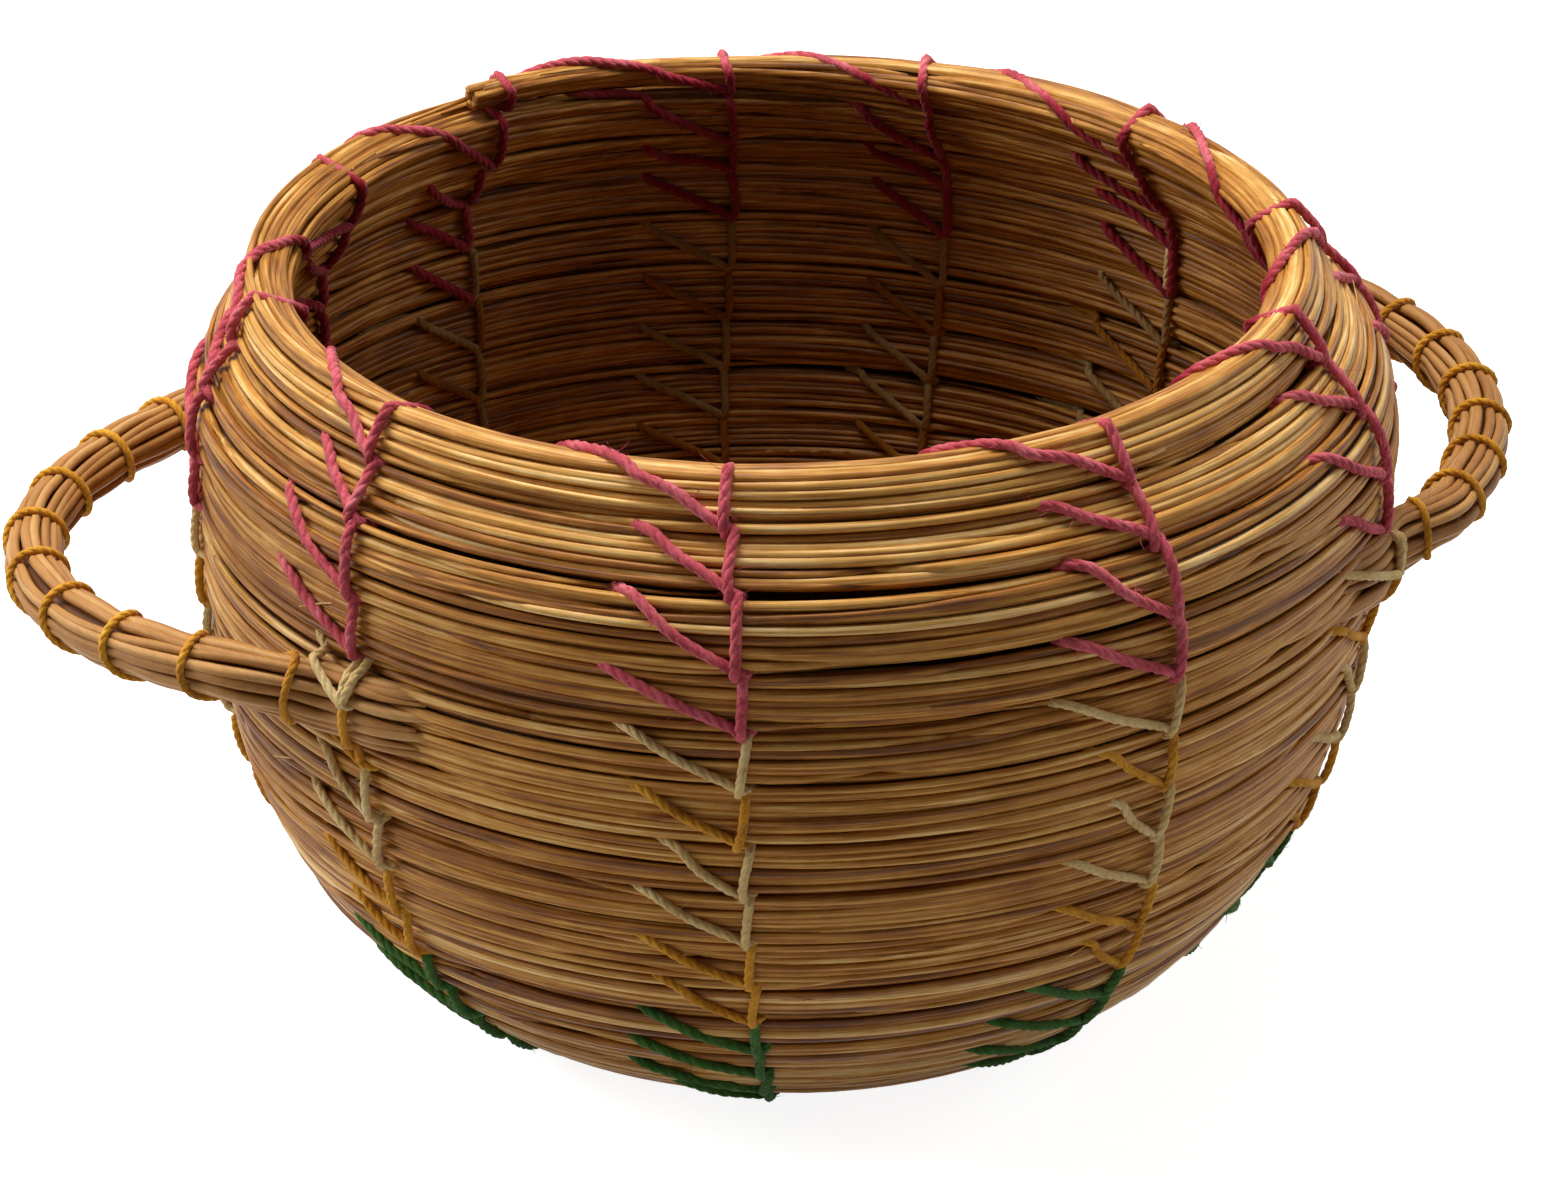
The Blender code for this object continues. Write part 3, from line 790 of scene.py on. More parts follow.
def lay_under_layer():
    length = np.arange(0.0, COIL_LENGTH - 3 * MM, CORE_STEP)
    half_width = bundle_after(length)[1]
    radii = UNDER_RADIUS * half_width / half_width.max()
    strands = []
    for lane in range(UNDER_LANES):
        share = (lane + 0.5 * wander(0.1, 0.4, 4)(length)) / UNDER_LANES
        strands.append(in_bundle(length, share, UNDER_DEPTH + radii, radii))
    tones = [rng.normal(UNDER_TONE_PAINTED_SHADE, 0.08) for _ in strands]
    piece = tubes("needles_under_coil", strands, NEEDLES, FOUR_SIDES, tones)
    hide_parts("needle_coil")


def fill_bundle():
    length = np.arange(0.0, COIL_LENGTH - 6 * MM, CORE_STEP)
    azimuth, half_width, half_height = bundle_after(length)
    strands = []
    for place in CORE_PLACES:
        radii = CORE_RADIUS * np.minimum(half_width, half_height)
        points = on_coil(azimuth, np.zeros(len(length)), place * half_height)
        strands.append((above_floor(points, radii), radii))
    piece = tubes("needles_inside_coil", strands, inner_material())
    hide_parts("needle_coil")


lay_under_layer()
fill_bundle()

# %% [markdown]
# ## Where the handles lie
# Each handle is a second bundle that leaves the wall at one column and comes
# back at another. Near a column it spreads flat against the wall, and past
# it the needles thin out and sink between the rows. The stitches of that
# column go over it, so the route of a handle is settled before any thread.

# %% Follow a handle
HANDLE_RADIUS = 3.5 * MM
SEAT_STAND = BUNDLE_WIDTH / 2 + 2.8 * MM
SETTLE = 2.4 * MM
SPREAD_END = 3.0 * MM
SPREAD_LENGTH = 9.0 * MM
SPREAD_OUT = 1.8 * MM
SPREAD_ALONG = 4.4 * MM
SINK_START = 1.0 * MM
SINK_LENGTH = 12.0 * MM
SINK_DEPTH = 2.8 * MM
RISE_POWER = 1.7
WRAP_MIDDLE = 4.5


def crossing(round_number, column):
    rim_first = CROSSINGS[-len(COLUMNS):]
    nearest = int(np.argmin(np.abs(shortest_turn(rim_first - column))))
    return float(CROSSINGS[len(CROSSINGS) - len(COLUMNS) * round_number + nearest])


@dataclass
class Handle:
    name: str
    columns: tuple
    rounds: tuple
    reach: float
    skew: float
    drop: float
    falls: tuple
    faces: tuple
    wrap_from: float
    wrap_to: float
    wrap_pitch: float
    wrap_shift: float
    hold: float

    def __post_init__(self):
        self.starts, self.ends = map(crossing, self.rounds, self.columns)
        self.first = self.starts % 360
        self.last = self.first + (self.ends - self.first) % 360
        self.middle = (self.first + self.last) / 2 + self.skew
        self.half_span = (self.last - self.first) / 2
        self.per_metre = float(degrees_of(1.0, self.starts))

    def inside(self, azimuth):
        """How far a place is from the nearer column. Past the column it is less than nothing."""
        return np.minimum(azimuth - self.first, self.last - azimuth) / self.per_metre

    def spread(self, azimuth):
        """0 where the bundle is round, 1 where it lies flat on the wall."""
        return 1 - ease((self.inside(azimuth) - SPREAD_END) / SPREAD_LENGTH)

    def seat(self, azimuth):
        distance = coil_size(azimuth)[0]
        return on_section(distance) + SEAT_STAND * section_out(distance)

    def radius_and_height(self, azimuth):
        share = (azimuth - self.middle) / self.half_span
        rise = np.maximum(0.0, 1 - share * share) ** RISE_POWER
        travel = np.clip((azimuth - self.first) / (self.last - self.first), 0, 1)
        place = (1 - travel)[:, None] * self.seat(self.starts) + travel[:, None] * self.seat(self.ends)
        spread = self.spread(azimuth)
        sunk = ease(-(self.inside(azimuth) + SINK_START) / SINK_LENGTH)
        fall = self.falls[0] + travel * (self.falls[1] - self.falls[0])
        radius = place[:, 0] + rise * (self.reach - place[:, 0])
        radius = radius - spread * SETTLE - sunk * SINK_DEPTH
        return radius, place[:, 1] - rise * self.drop - spread * fall

    def centre(self, azimuth):
        radius, height = self.radius_and_height(azimuth)
        angle = np.radians(azimuth)
        x = AXIS[0] + radius * np.cos(angle) + sway(height)
        return np.column_stack([x, AXIS[1] + radius * np.sin(angle), height])

    def half_sizes(self, azimuth):
        """Half of the bundle's size, out of the basket and up the wall."""
        spread = self.spread(azimuth)
        return (HANDLE_RADIUS + spread * (SPREAD_OUT - HANDLE_RADIUS),
                HANDLE_RADIUS + spread * (SPREAD_ALONG - HANDLE_RADIUS))

    def beside(self, azimuth, turn, outward):
        """Points that far outside the bundle's edge: turn 0 faces out, a quarter turn faces up."""
        step = 0.5
        along = self.centre(azimuth + step) - self.centre(azimuth - step)
        along /= np.linalg.norm(along, axis=1, keepdims=True)
        side = np.cross(along, (0, 0, 1))
        side /= np.linalg.norm(side, axis=1, keepdims=True)
        up = np.cross(side, along)
        half_out, half_along = self.half_sizes(azimuth)
        across = (np.cos(turn) * (half_out + outward))[:, None] * side
        return self.centre(azimuth) + across + (np.sin(turn) * (half_along + outward))[:, None] * up


HANDLES = (
    Handle("left_handle", columns=(154, 226), rounds=(5, 5), reach=88.2 * MM, skew=0.2,
           drop=1.2 * MM, falls=(0.0, 2.4 * MM), faces=(150, 30), wrap_from=0.25, wrap_to=9.30,
           wrap_pitch=6.6, wrap_shift=0.9, hold=7.0),
    Handle("right_handle", columns=(339, 41), rounds=(5, 4), reach=81.5 * MM, skew=0.2,
           drop=0.2 * MM, falls=(0.0, 0.0), faces=(30, 150), wrap_from=0.60, wrap_to=8.90,
           wrap_pitch=6.3, wrap_shift=-2.4, hold=12.0),
)
for handle in HANDLES:
    print(f"{handle.name} from {handle.first:.1f} to {handle.last:.1f} degrees")

# %% [markdown]
# ## Sewing thread
# Each round is sewn with its own length of thread. The needle comes up inside
# the basket, slants up over the new row, slants down outside to the column,
# dips under, comes straight up inside and goes straight down outside, over the
# end of its own slant, where it bites into the row below. A stitch is written
# once, as places beside the bundle, and repeated at every crossing.

# %% Write one feather stitch
OUTSIDE_REACHES = (9.0, 11.0, 12.8, 13.5, 15.0, 11.9, 8.8, 11.8, 12.3, 9.3, 11.0, 13.2, 13.7, 12.0)
REACH_STRAY = 0.08
INSIDE_REACH = 12.0 * MM
RIM_REACH = 20.0 * MM
LIFT = 0.14
FLAT_ROUNDS = 11
RIDE = 0.40
FLAT_RIDE = 0.25
RIM_SHOULDER = -0.35 * MM
ROW_SHOULDER = 0.05 * MM


def measure_at(azimuth):
    """The degrees that a millimetre takes up there, and half the width and height of the bundle."""
    return (float(value) for value in (degrees_of(MM, azimuth), *coil_size(azimuth)[1:]))


def slant_over_row(column, previous, mm, w, h, face, reach):
    """Up along the inside, then a long way through the gap and out where the slant starts."""
    far = column - previous
    start = column - min(reach * mm, 0.5 * far)
    inside = previous + min(INSIDE_REACH / MM * mm, 0.35 * far)
    return [
        (inside - 1.5 * mm, -face, 0.62 * h),
        (inside, -0.75 * w, h),
        (inside + 1.5 * mm, -0.4 * w, h),
        (start - 2.6 * mm, -0.1 * w, h),
        (start - 0.6 * mm, 0.35 * w, h),
        (start + 0.9 * mm, 0.74 * w, 0.97 * h),
        (start + 2.8 * mm, face - 0.30 * MM, 0.76 * h),
    ], start


def slant_over_rim(column, previous, mm, w, h, face, lift, reach):
    """Across the top of the last row, from inside at one column to outside at the next."""
    far = column - previous
    start = column - min(reach * mm, 0.36 * far)
    inside = column - min(RIM_REACH / MM * mm, 0.68 * far)
    top = h + 0.5 * lift
    return [
        (inside - 2.0 * mm, -face, 0.35 * h),
        (inside, -0.88 * w, 0.80 * top),
        (0.75 * inside + 0.25 * start, -0.4 * w, 0.99 * top),
        (0.45 * inside + 0.55 * start, 0.1 * w, top),
        (0.25 * inside + 0.75 * start, 0.5 * w, 0.97 * top),
        (start, 0.88 * w, 0.76 * top),
        (start + 1.2 * mm, face, 0.5 * h),
    ], start


SLANT_PLACES = slice(8, 13)
SLANT_ENDS = slice(10, 14)
UPRIGHT_PLACES = slice(19, 22)
UPRIGHT_TOPS = slice(18, 22)
UPRIGHT_ENDS = slice(20, 24)


def feather_stitch(column, previous, width, number, reach):
    """Places of the thread as azimuth, out and along."""
    mm, w, h = measure_at(column)
    lift = LIFT * width if number < FLAT_ROUNDS else 0.0
    face = w + lift
    ride = (RIDE if number < FLAT_ROUNDS else FLAT_RIDE) * width
    reach *= rng.normal(1.0, REACH_STRAY)
    shoulder = face + (RIM_SHOULDER if number == 1 else ROW_SHOULDER)
    top = rng.uniform(-0.3, 0.3) * mm
    foot = rng.uniform(-0.3, 0.3) * mm
    if number == 1:
        slant, start = slant_over_rim(column, previous, mm, w, h, face, lift, reach)
    else:
        slant, start = slant_over_row(column, previous, mm, w, h, face, reach)
    over = 0.80 * h if number == 1 else h
    return [
        (previous + 0.8 * mm, -w + 0.5 * MM, -h - 0.2 * MM),
        (previous + 1.4 * mm, -face, -0.80 * h),
        *slant,
        (0.5 * start + 0.5 * column, face, 0.10 * h),
        (column - 1.6 * mm, face, -0.62 * h),
        (column - 0.4 * mm, face - 0.1 * MM, -0.84 * h),
        (column + 0.6 * mm, w - 0.3 * MM, -h),
        (column + 1.1 * mm, w - 1.3 * MM, -h),
        (column + 0.8 * mm, -w + 0.8 * MM, -h),
        (column + 0.1 * mm, -face, -0.7 * h),
        (column + 0.2 * mm, -face, 0.6 * h),
        (column + 0.3 * mm, -0.75 * w, over),
        (column + 0.4 * mm + top, 0.75 * w, over),
        (column + 0.35 * mm + top, shoulder, 0.72 * h),
        (column + 0.1 * mm, face + ride, -0.35 * h),
        (column - 0.1 * mm + foot, face + 0.5 * ride, -0.92 * h),
        (column - 0.1 * mm + foot, w - 0.3 * MM, -h - 0.4 * MM),
        (column + foot, w - 1.4 * MM, -h - 0.6 * MM),
        (column, -w + 1.4 * MM, -h - 0.3 * MM),
    ]


def plain_stitch(column):
    mm, w, h = measure_at(column)
    return [
        (column - 0.5 * mm, -w, -0.6 * h),
        (column - 0.5 * mm, -w, 0.6 * h),
        (column - 0.4 * mm, -0.6 * w, h),
        (column - 0.2 * mm, 0.6 * w, h),
        (column, w, 0.6 * h),
        (column, w, -0.6 * h),
        (column + 0.2 * mm, 0.6 * w, -h),
        (column + 0.4 * mm, -0.6 * w, -h),
    ]


# %% Take a stitch over a handle
UPPER_SHARE = 0.45
LOWER_RISE = 0.75


def slant_reach(i, number):
    """How long the slant is, in millimetres. One that holds a handle has a length of its own."""
    for handle in HANDLES:
        if min(abs(handle.starts - CROSSINGS[i]), abs(handle.ends - CROSSINGS[i])) < 3:
            return handle.hold
    return OUTSIDE_REACHES[number - 1]


def hold_handle(i, stitch):
    """The stitch with 1 for each place that lies over the end of a handle, otherwise 0.

    The round that meets the handle holds its upper half. The round below holds the rest.
    """
    stitch = np.array(stitch)
    rides = np.zeros(len(stitch))
    half_height = float(coil_size(CROSSINGS[i])[2])
    for handle in HANDLES:
        for end in (handle.starts, handle.ends):
            rows_down = (end - CROSSINGS[i]) / 360
            if abs(rows_down) < 0.01:
                rides[SLANT_PLACES] = 1
                rides[UPRIGHT_PLACES] = 1
                stitch[SLANT_ENDS, 2] *= UPPER_SHARE
                stitch[UPRIGHT_ENDS, 2] *= UPPER_SHARE
                straight = np.linspace(stitch[SLANT_PLACES.start], stitch[SLANT_PLACES.stop - 1], 5)
                stitch[SLANT_PLACES] = straight
            elif abs(rows_down - 1) < 0.01:
                rides[UPRIGHT_PLACES] = 1
                stitch[UPRIGHT_TOPS, 2] += LOWER_RISE * half_height
                if end == handle.starts:
                    rides[SLANT_PLACES] = 1
    return [(*place, over) for place, over in zip(stitch, rides)]


REACH_OVER = 9.0 * MM
STAND_OVER = 0.4


def over_handles(points, rides, width):
    """Moves the points that ride over a handle out to its surface."""
    if not rides.any():
        return points
    points = points.copy()
    x = points[:, 0] - AXIS[0] - sway(points[:, 2])
    y = points[:, 1] - AXIS[1]
    radius = np.hypot(x, y)
    for handle in HANDLES:
        azimuth = handle.middle + shortest_turn(np.degrees(np.arctan2(y, x)) - handle.middle)
        middle, height = handle.radius_and_height(azimuth)
        half_out, half_along = handle.half_sizes(azimuth)
        share = np.clip((points[:, 2] - height) / (half_along + STAND_OVER * width), -1, 1)
        surface = middle + (half_out + STAND_OVER * width) * np.sqrt(1 - share * share)
        near = 1 - ease((handle.inside(azimuth) - 0.5 * REACH_OVER) / (0.5 * REACH_OVER))
        push = np.maximum(0.0, surface - radius) * near * rides * (np.abs(share) < 1)
        points[:, 0] += push * np.cos(np.radians(azimuth))
        points[:, 1] += push * np.sin(np.radians(azimuth))
    return points


# %% Run a thread through its places
SMOOTH_STEPS = 8
THREAD_STEP = 0.55 * MM


def smooth(places):
    """A Catmull-Rom curve through the places."""
    places = np.asarray(places, dtype=float)
    ends = np.concatenate([places[:1], places, places[-1:]])
    a, b, c, d = ends[:-3, None], ends[1:-2, None], ends[2:-1, None], ends[3:, None]
    t = np.linspace(0, 1, SMOOTH_STEPS, endpoint=False)[None, :, None]
    found = 0.5 * (2 * b + (c - a) * t + (2 * a - 5 * b + 4 * c - d) * t**2
                   + (3 * b - a - 3 * c + d) * t**3)
    return np.concatenate([found.reshape(-1, places.shape[1]), places[-1:]])


def even_steps(points, step):
    lengths = lengths_along(points)
    marks = np.linspace(0, lengths[-1], max(2, int(lengths[-1] / step)))
    return np.column_stack([np.interp(marks, lengths, points[:, i]) for i in range(3)]), marks


def sew(places, width):
    """Even points along a thread, and the lengths there. A place ends with 1 where it rides a handle."""
    azimuth, out, along, rides = smooth(places).T
    route = over_handles(on_coil(azimuth, out, along), np.clip(rides, 0, 1), width)
    return even_steps(route, THREAD_STEP)


def steady_frame(points):
    """Two ways square to a route, which turn as little as possible along it."""
    ways = np.gradient(points, axis=0)
    ways /= np.linalg.norm(ways, axis=1, keepdims=True)
    side = np.cross(ways[0], (0.3, 0.5, 0.8))
    side /= np.linalg.norm(side)
    sides = [side]
    for way_on in ways[1:]:
        side = side - np.dot(side, way_on) * way_on
        side = side / np.linalg.norm(side)
        sides.append(side)
    sides = np.array(sides)
    return ways, sides, np.cross(ways, sides)


# %% [markdown]
# ## Plies and fuzz
# The thread is three plies twisted round each other, which is what gives it
# its slanted stripes. Three tubes that wind round the route make it real
# geometry. The cotton also sheds fine fibres that stand up to two
# millimetres off it. They catch the light at the rim, so they are drawn too.

# %% Twist plies round a route
PLIES = 3
PLY_OFFSET = 0.18
PLY_RADIUS = 0.32


def plies(points, marks, thread):
    _, sides, ups = steady_frame(points)
    found = []
    for ply in range(PLIES):
        turn = 2 * math.pi * (marks / thread.twist_length + ply / PLIES)
        ring = np.cos(turn)[:, None] * sides + np.sin(turn)[:, None] * ups
        radii = np.full(len(points), PLY_RADIUS * thread.width)
        found.append((points + PLY_OFFSET * thread.width * ring, radii))
    return found


FIBRE_RADII = np.array([1.0, 1.0, 0.8, 0.4]) * 0.035 * MM
FIBRE_LEAN = 1.2
FIBRE_CURL = 0.5


def fibres(points, thread):
    ways, sides, ups = steady_frame(points)
    found = []
    total = lengths_along(points)[-1]
    t = np.linspace(0, 1, len(FIBRE_RADII))[:, None]
    for i in rng.integers(2, len(points) - 2, int(total * thread.fibres_per_metre)):
        turn = rng.uniform(0, 2 * math.pi)
        off = math.cos(turn) * sides[i] + math.sin(turn) * ups[i]
        lean = rng.uniform(-FIBRE_LEAN, FIBRE_LEAN)
        curl = rng.normal(0, FIBRE_CURL, 3)
        size = rng.uniform(0.3, 1.0) ** 1.6 * thread.longest_fibre
        start = points[i] + 0.4 * thread.width * off
        found.append((start + size * (t * (0.7 * off + lean * ways[i]) + t * t * curl), FIBRE_RADII))
    return found


# %% [markdown]
# ## Dyed thread
# The thread keeps its dyed colour outside. Inside the wall its colour carries painted shade: each thread
# is marked with how far inside the wall it lies, and its material is darker and deeper in colour there,
# and cream and ochre a little redder. The wall's section gives the radius to compare with.

# %% Make the threads
class Thread(NamedTuple):
    width: float
    twist_length: float
    deep: tuple
    body: tuple
    light: tuple
    painted_shade_redder: float
    fibres_per_metre: int
    longest_fibre: float


THREADS = {
    "rose": Thread(1.30 * MM, 4.6 * MM, (0.30, 0.030, 0.045), (0.54, 0.080, 0.100),
                   (0.74, 0.210, 0.240), 0.0, 950, 1.9 * MM),
    "cream": Thread(1.12 * MM, 3.8 * MM, (0.44, 0.27, 0.09), (0.68, 0.47, 0.19),
                    (0.84, 0.66, 0.34), 0.016, 300, 1.2 * MM),
    "ochre": Thread(1.12 * MM, 3.8 * MM, (0.34, 0.12, 0.005), (0.62, 0.27, 0.014),
                    (0.80, 0.43, 0.040), 0.016, 220, 1.1 * MM),
    "green": Thread(1.25 * MM, 4.4 * MM, (0.014, 0.048, 0.005), (0.036, 0.116, 0.012),
                    (0.080, 0.21, 0.040), 0.0, 260, 1.1 * MM),
}
PAINTED_SHADE_DIM = 0.55
PAINTED_SHADE_DEEPER = 0.15
PATCH_SHARE = 0.6


def mark_inside(piece):
    """Gives each point of a thread 0 outside the wall's middle, and up to 1 inside it."""
    mesh = piece.data
    places = np.empty(3 * len(mesh.vertices), dtype=np.float32)
    mesh.vertices.foreach_get("co", places)
    x, y, z = places.reshape(-1, 3).T
    wall_radius = np.interp(z, SECTION[SECTION_STEPS:, 1], SECTION[SECTION_STEPS:, 0])
    radius = np.hypot(x - AXIS[0] - sway(z), y - AXIS[1])
    mark_points(mesh, "inside", ease((wall_radius - radius) / (BUNDLE_WIDTH / 2)))


def thread_material(name, thread):
    graph = Graph(bpy.data.materials.new(name))
    place = graph.place()
    patches = graph.noise(place, 260.0, 2.0)
    strands = graph.noise(place, 2600.0, 3.0)
    factor = graph.math("ADD", graph.math("MULTIPLY", patches, PATCH_SHARE),
                        graph.math("MULTIPLY", strands, 1 - PATCH_SHARE))
    # Painted shade: darker, deeper and redder where the thread runs inside the wall.
    inside = graph.attribute("inside")
    dye_and_painted_shade = graph.add("HueSaturation", {
        "Color": graph.ramp(factor, [(0.30, thread.deep), (0.50, thread.body), (0.72, thread.light)]),
        "Value": graph.math("SUBTRACT", 1.0, graph.math("MULTIPLY", inside, PAINTED_SHADE_DIM)),
        "Saturation": graph.math("ADD", 1.0, graph.math("MULTIPLY", inside, PAINTED_SHADE_DEEPER)),
        "Hue": graph.math("SUBTRACT", 0.5, graph.math("MULTIPLY", inside, thread.painted_shade_redder)),
    })
    return graph.shade({
        "Base Color": dye_and_painted_shade.outputs["Color"],
        "Roughness": 0.85,
        "Specular IOR Level": 0.2,
        "Sheen Weight": 0.12,
        "Sheen Roughness": 0.5,
        "Normal": graph.bump(strands, 0.5, 0.12 * MM),
    })


MATERIALS = {colour: thread_material(f"{colour}_thread", thread) for colour, thread in THREADS.items()}
print("thread materials:", ", ".join(MATERIALS))

# %% Sew the rounds
COLUMN_BENDS = {123: ((0.0, 1.0, 2.5, 5.0), (3.0, 4.4, 7.0, 4.5)), 193: ((2.5, 5.5), (0.0, -5.0))}
NEAR_COLUMN = 5


def bent(azimuth):
    """Two columns stray from the even ones: rounds down from the rim, and the degrees there."""
    rows_down = (END_AZIMUTH - azimuth) / 360
    for column, (rounds, bends) in COLUMN_BENDS.items():
        if abs(shortest_turn(azimuth - column)) < NEAR_COLUMN:
            return azimuth + float(np.interp(rows_down, rounds, bends))
    return azimuth


ROUND_COLOURS = ("rose",) * 4 + ("cream", "ochre", "cream", "cream", "ochre", "ochre")
FEATHER_ROUNDS = 14
FLOOR_STAND = 0.52


def sew_round(number, first, last):
    colour = ROUND_COLOURS[number - 1] if number <= len(ROUND_COLOURS) else "green"
    thread = THREADS[colour]
    places = []
    for i in range(first, last):
        if number <= FEATHER_ROUNDS:
            stitch = feather_stitch(bent(CROSSINGS[i]), bent(CROSSINGS[i - 1]), thread.width, number,
                                    slant_reach(i, number))
            places += hold_handle(i, stitch)
        else:
            stitch = plain_stitch(bent(CROSSINGS[i]))
            places += [(*place, 0.0) for place in stitch]
    points, marks = sew(places, thread.width)
    points = above_floor(points, FLOOR_STAND * thread.width)
    node = f"{colour}_thread_round_{number}"
    print(f"{node}: {marks[-1]:.2f} m of thread")
    piece = tubes(f"{colour}_stitches_round_{number}", plies(points, marks, thread),
                  MATERIALS[colour])
    mark_inside(piece)
    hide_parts(node)
    return colour, points


def sew_rounds():
    sewn = {}
    last = len(CROSSINGS)
    number = 1
    while last - len(COLUMNS) > len(COLUMNS):
        first = last - len(COLUMNS)
        colour, points = sew_round(number, first, last)
        sewn.setdefault(colour, []).append(points)
        last = first
        number += 1
    return sewn


sewn = sew_rounds()

# %% Add the fuzz
def add_fuzz():
    for colour, routes in sewn.items():
        found = []
        for points in routes:
            found += fibres(points, THREADS[colour])
        piece = tubes(f"{colour}_thread_fibres", found, MATERIALS[colour],
                      FOUR_SIDES)
        mark_inside(piece)


add_fuzz()

# %% [markdown]
# ## Handles
# A handle's needles lie straight along it and bulge a little between the
# turns of an ochre thread, which winds round it in one length. Beyond the
# columns each needle thins and sinks between the rows at a place of its own.

# %% Lay the needles of a handle
HANDLE_LANES = 15
HANDLE_NEEDLE_RADIUS = 0.64 * MM
HANDLE_STEPS = 120
HANDLE_TAILS = (7 * MM, 17 * MM)
TAIL_TAPER = 7 * MM
WRAP_PINCH = 0.32 * MM
STRAND_STRAY = 0.06 * MM


def wrap_turn(handle, azimuth):
    """How many turns of the wrap lie before there."""
    return WRAP_MIDDLE + (azimuth - handle.middle - handle.wrap_shift) / handle.wrap_pitch


def handle_needles(handle):
    strands = []
    tones = []
    for lane in range(HANDLE_LANES):
        tails = rng.uniform(*HANDLE_TAILS, 2) * handle.per_metre
        azimuth = np.linspace(handle.first - tails[0], handle.last + tails[1], HANDLE_STEPS)
        turns = wrap_turn(handle, azimuth)
        wrapped = ease((turns - handle.wrap_from) * 2) * ease((handle.wrap_to - turns) * 2)
        stray = wander(25, 60)
        radius = HANDLE_NEEDLE_RADIUS * rng.uniform(0.85, 1.08)
        turn = 2 * math.pi * (lane + 0.35 * stray(azimuth)) / HANDLE_LANES
        crossing_place = np.mod(turns + turn / (2 * math.pi), 1.0)
        held = np.exp(-((np.minimum(crossing_place, 1 - crossing_place) / 0.25) ** 2))
        inward = radius + WRAP_PINCH * held * wrapped + STRAND_STRAY * (1 + stray(azimuth[::-1]))
        from_end = np.minimum(azimuth - azimuth[0], azimuth[-1] - azimuth) / handle.per_metre
        thin = radius * (0.4 + 0.6 * ease(from_end / TAIL_TAPER))
        strands.append((handle.beside(azimuth, turn, -inward), thin))
        tones.append(rng.normal(0.55, 0.13))
    azimuth = np.linspace(handle.first, handle.last, HANDLE_STEPS)
    half_out, half_along = handle.half_sizes(azimuth)
    print(f"{handle.name}: {lengths_along(handle.centre(azimuth))[-1]:.3f} m from column to column")
    # The middle strand fills the bundle and is toned darkest, as painted shade between the needles.
    strands.append((handle.centre(azimuth), 0.60 * np.minimum(half_out, half_along)))
    tones.append(-0.1)
    piece = tubes(handle.name + "_strands", strands, HANDLE_NEEDLES, tones=tones)
    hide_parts(handle.name)


# %% Wind the wrap
WRAP_THREAD = THREADS["ochre"]._replace(width=0.98 * MM, twist_length=3.2 * MM)
WRAP_POINTS = 26
WRAP_SWING = 0.19
WRAP_STAND = 0.22 * WRAP_THREAD.width
TUCK_TURNS = 0.12
TUCK_DEPTH = 1.6 * MM


def wrap_route(handle):
    """The wrap's azimuth and its turn: square to the bundle on the side that faces up and forward."""
    count = int((handle.wrap_to - handle.wrap_from) * WRAP_POINTS)
    turns = np.linspace(handle.wrap_from, handle.wrap_to, count)
    face = handle.faces[0] + (handle.faces[1] - handle.faces[0]) * turns / (2 * WRAP_MIDDLE)
    swing = -WRAP_SWING * np.sin(2 * math.pi * turns + np.radians(face))
    azimuth = handle.middle + handle.wrap_shift + handle.wrap_pitch * (turns + swing - WRAP_MIDDLE)
    from_end = np.minimum(turns - turns[0], turns[-1] - turns)
    return azimuth, -2 * math.pi * turns, 1 - ease(from_end / TUCK_TURNS)


def wind_wrap(handle):
    azimuth, turn, tucked = wrap_route(handle)
    outward = WRAP_STAND - WRAP_PINCH - TUCK_DEPTH * tucked
    points, marks = even_steps(handle.beside(azimuth, turn, outward), THREAD_STEP)
    print(f"{handle.name}_wrap: {marks[-1]:.2f} m of thread")
    strands = plies(points, marks, WRAP_THREAD)
    piece = tubes(handle.name + "_wrap_thread", strands, MATERIALS["ochre"])
    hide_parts(handle.name + "_wrap")


# %% Lash the handle's ends
LASH_PLACE = 0.9 * MM


def lash(handle, end_azimuth, end):
    """One cream stitch through the wall, over half of the bundle and back through its middle."""
    thread = THREADS["cream"]
    mm, w, h = measure_at(end_azimuth)
    place = end_azimuth + float(degrees_of(LASH_PLACE, end_azimuth))
    face = w + LIFT * thread.width
    places = [
        (place, -face, -0.7 * h, 0), (place, -face, 0.7 * h, 0), (place, -0.5 * w, h, 0),
        (place + 0.5 * mm, 0.7 * w, h, 0), (place + 0.4 * mm, face, 0.7 * h, 1),
        (place, face, 0.2 * h, 1), (place - 0.5 * mm, face, -0.35 * h, 1),
        (place - 0.6 * mm, face, -0.55 * h, 0), (place - 0.4 * mm, 0.6 * w, -0.9 * h, 0),
        (place, -0.5 * w, -h, 0), (place, -face, -0.7 * h, 0),
    ]
    points, marks = sew(places, thread.width)
    print(f"{handle.name}_{end}_lashing: {marks[-1]:.3f} m of thread")
    piece = tubes(f"{handle.name}_{end}_lashing_thread", plies(points, marks, thread),
                  MATERIALS["cream"])
    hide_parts(f"{handle.name}_{end}_lashing")


def make_handle(handle, start_end, last_end):
    handle_needles(handle)
    wind_wrap(handle)
    lash(handle, handle.starts, start_end)
    lash(handle, handle.ends, last_end)


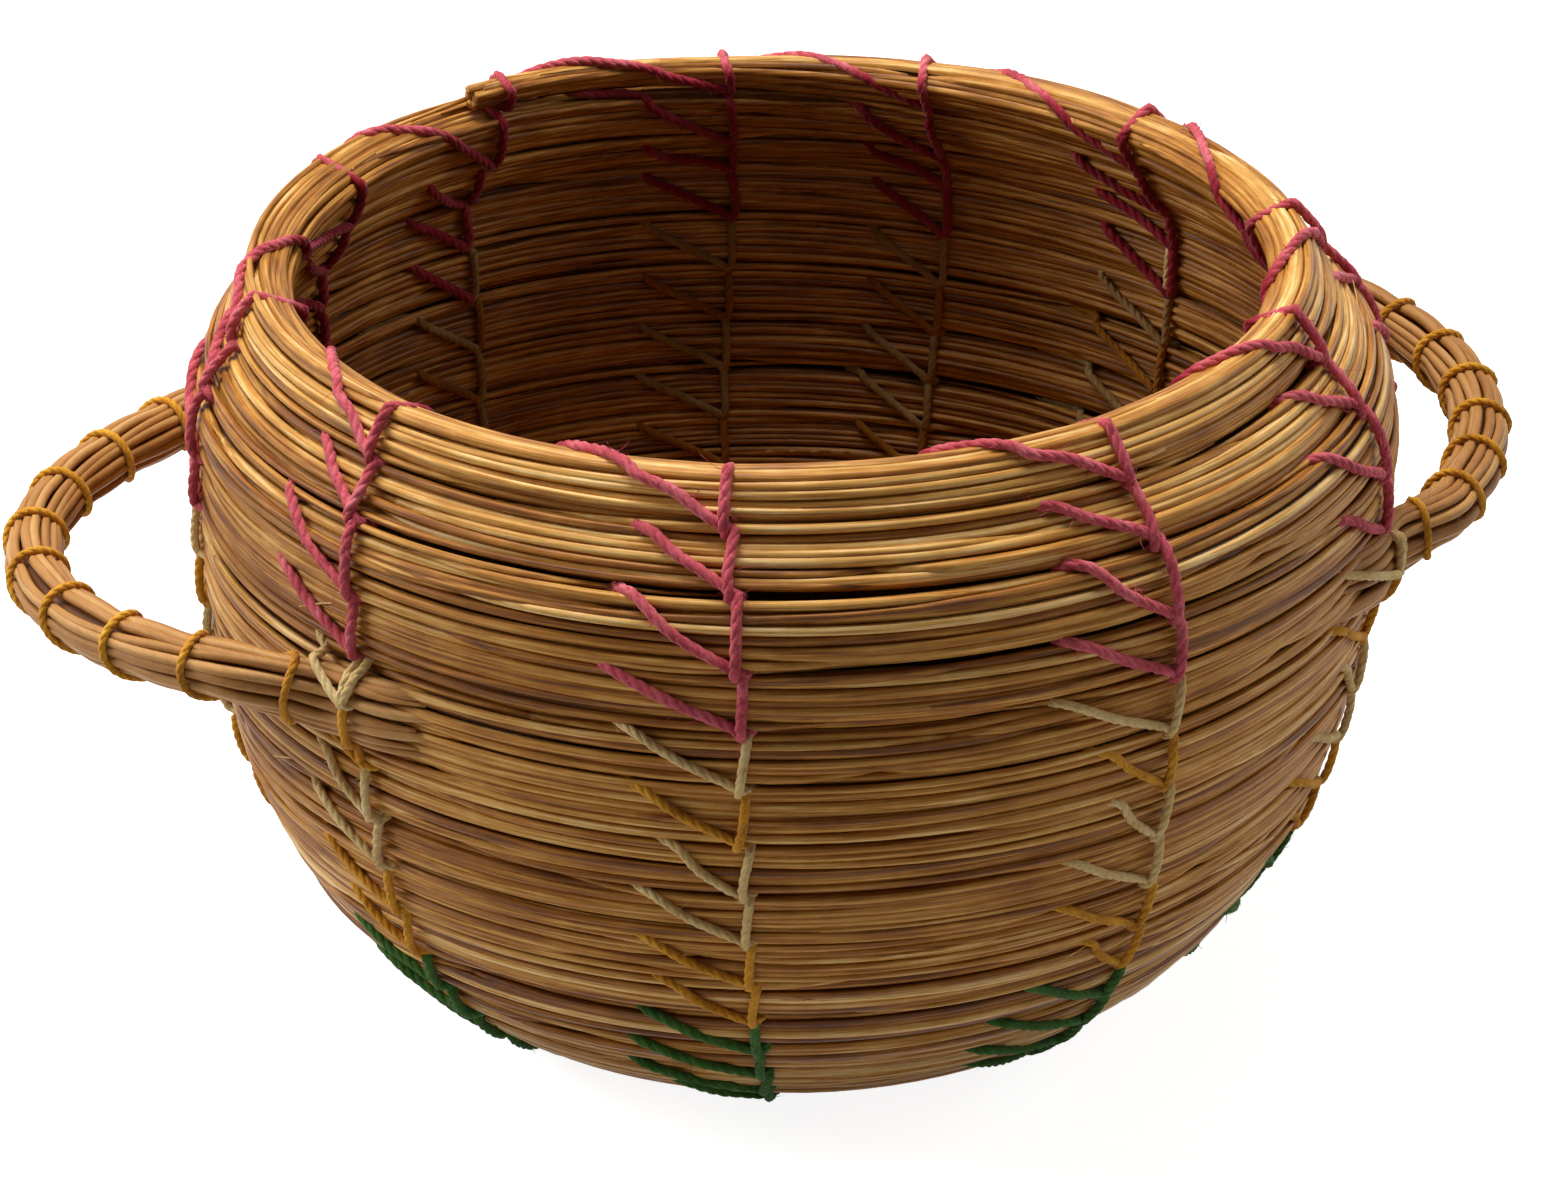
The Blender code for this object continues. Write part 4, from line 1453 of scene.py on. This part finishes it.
make_handle(HANDLES[0], "rear", "front")
make_handle(HANDLES[1], "front", "rear")

# %% [markdown]
# ## Floor and light
# A broad lamp overhead gives the rim its glow and leaves the inside in shade.
# A weaker one on each side brings out the rows and the handles. The floor is
# pale and looks white to the camera.

# %% Light the basket
FLOOR_SIZE = 3.0
LAMP_AIM = Vector((0, 0, 0.05))
LAMP_SIZE = 0.40


def looked_at(graph):
    """1 for what the camera sees, straight or by way of a gloss or a clear body."""
    ray = graph.add("LightPath").outputs
    mirrored = graph.math("MAXIMUM", ray["Is Glossy Ray"], ray["Is Transmission Ray"])
    return graph.math("MAXIMUM", ray["Is Camera Ray"], mirrored)


def floor_material():
    graph = Graph(bpy.data.materials.new("pale_floor"))
    return graph.shade({
        "Base Color": (0.52, 0.52, 0.52, 1.0),
        "Roughness": 0.9,
        "Emission Color": (1.0, 1.0, 1.0, 1.0),
        "Emission Strength": graph.math("MULTIPLY", looked_at(graph), 0.9),
    })


def make_floor():
    shape = bmesh.new()
    bmesh.ops.create_grid(shape, x_segments=1, y_segments=1, size=FLOOR_SIZE / 2)
    mesh = bpy.data.meshes.new("floor")
    shape.to_mesh(mesh)
    shape.free()
    mesh.materials.append(floor_material())
    floor = put("floor", mesh)


def area_lamp(name, place, power):
    data = bpy.data.lights.new(name, "AREA")
    data.shape = "DISK"
    data.size = LAMP_SIZE
    data.energy = power
    lamp = put(name, data)
    lamp.location = place
    aim = LAMP_AIM - Vector(place)
    lamp.rotation_euler = aim.to_track_quat("-Z", "Y").to_euler()


def make_world(shade):
    world = bpy.data.worlds.new("studio")
    bpy.context.scene.world = world
    graph = Graph(world)
    white = graph.math("MAXIMUM", looked_at(graph), shade)
    graph.feed(graph.nodes["Background"], {"Color": (1.0, 1.0, 1.0, 1.0), "Strength": white})


make_floor()
area_lamp("overhead", (-0.10, 0.10, 0.75), 6.2)
area_lamp("left", (-0.75, 0.05, 0.45), 4.2)
area_lamp("right", (0.70, 0.10, 0.40), 1.4)
make_world(0.055)
bpy.context.scene.view_settings.view_transform = "Standard"
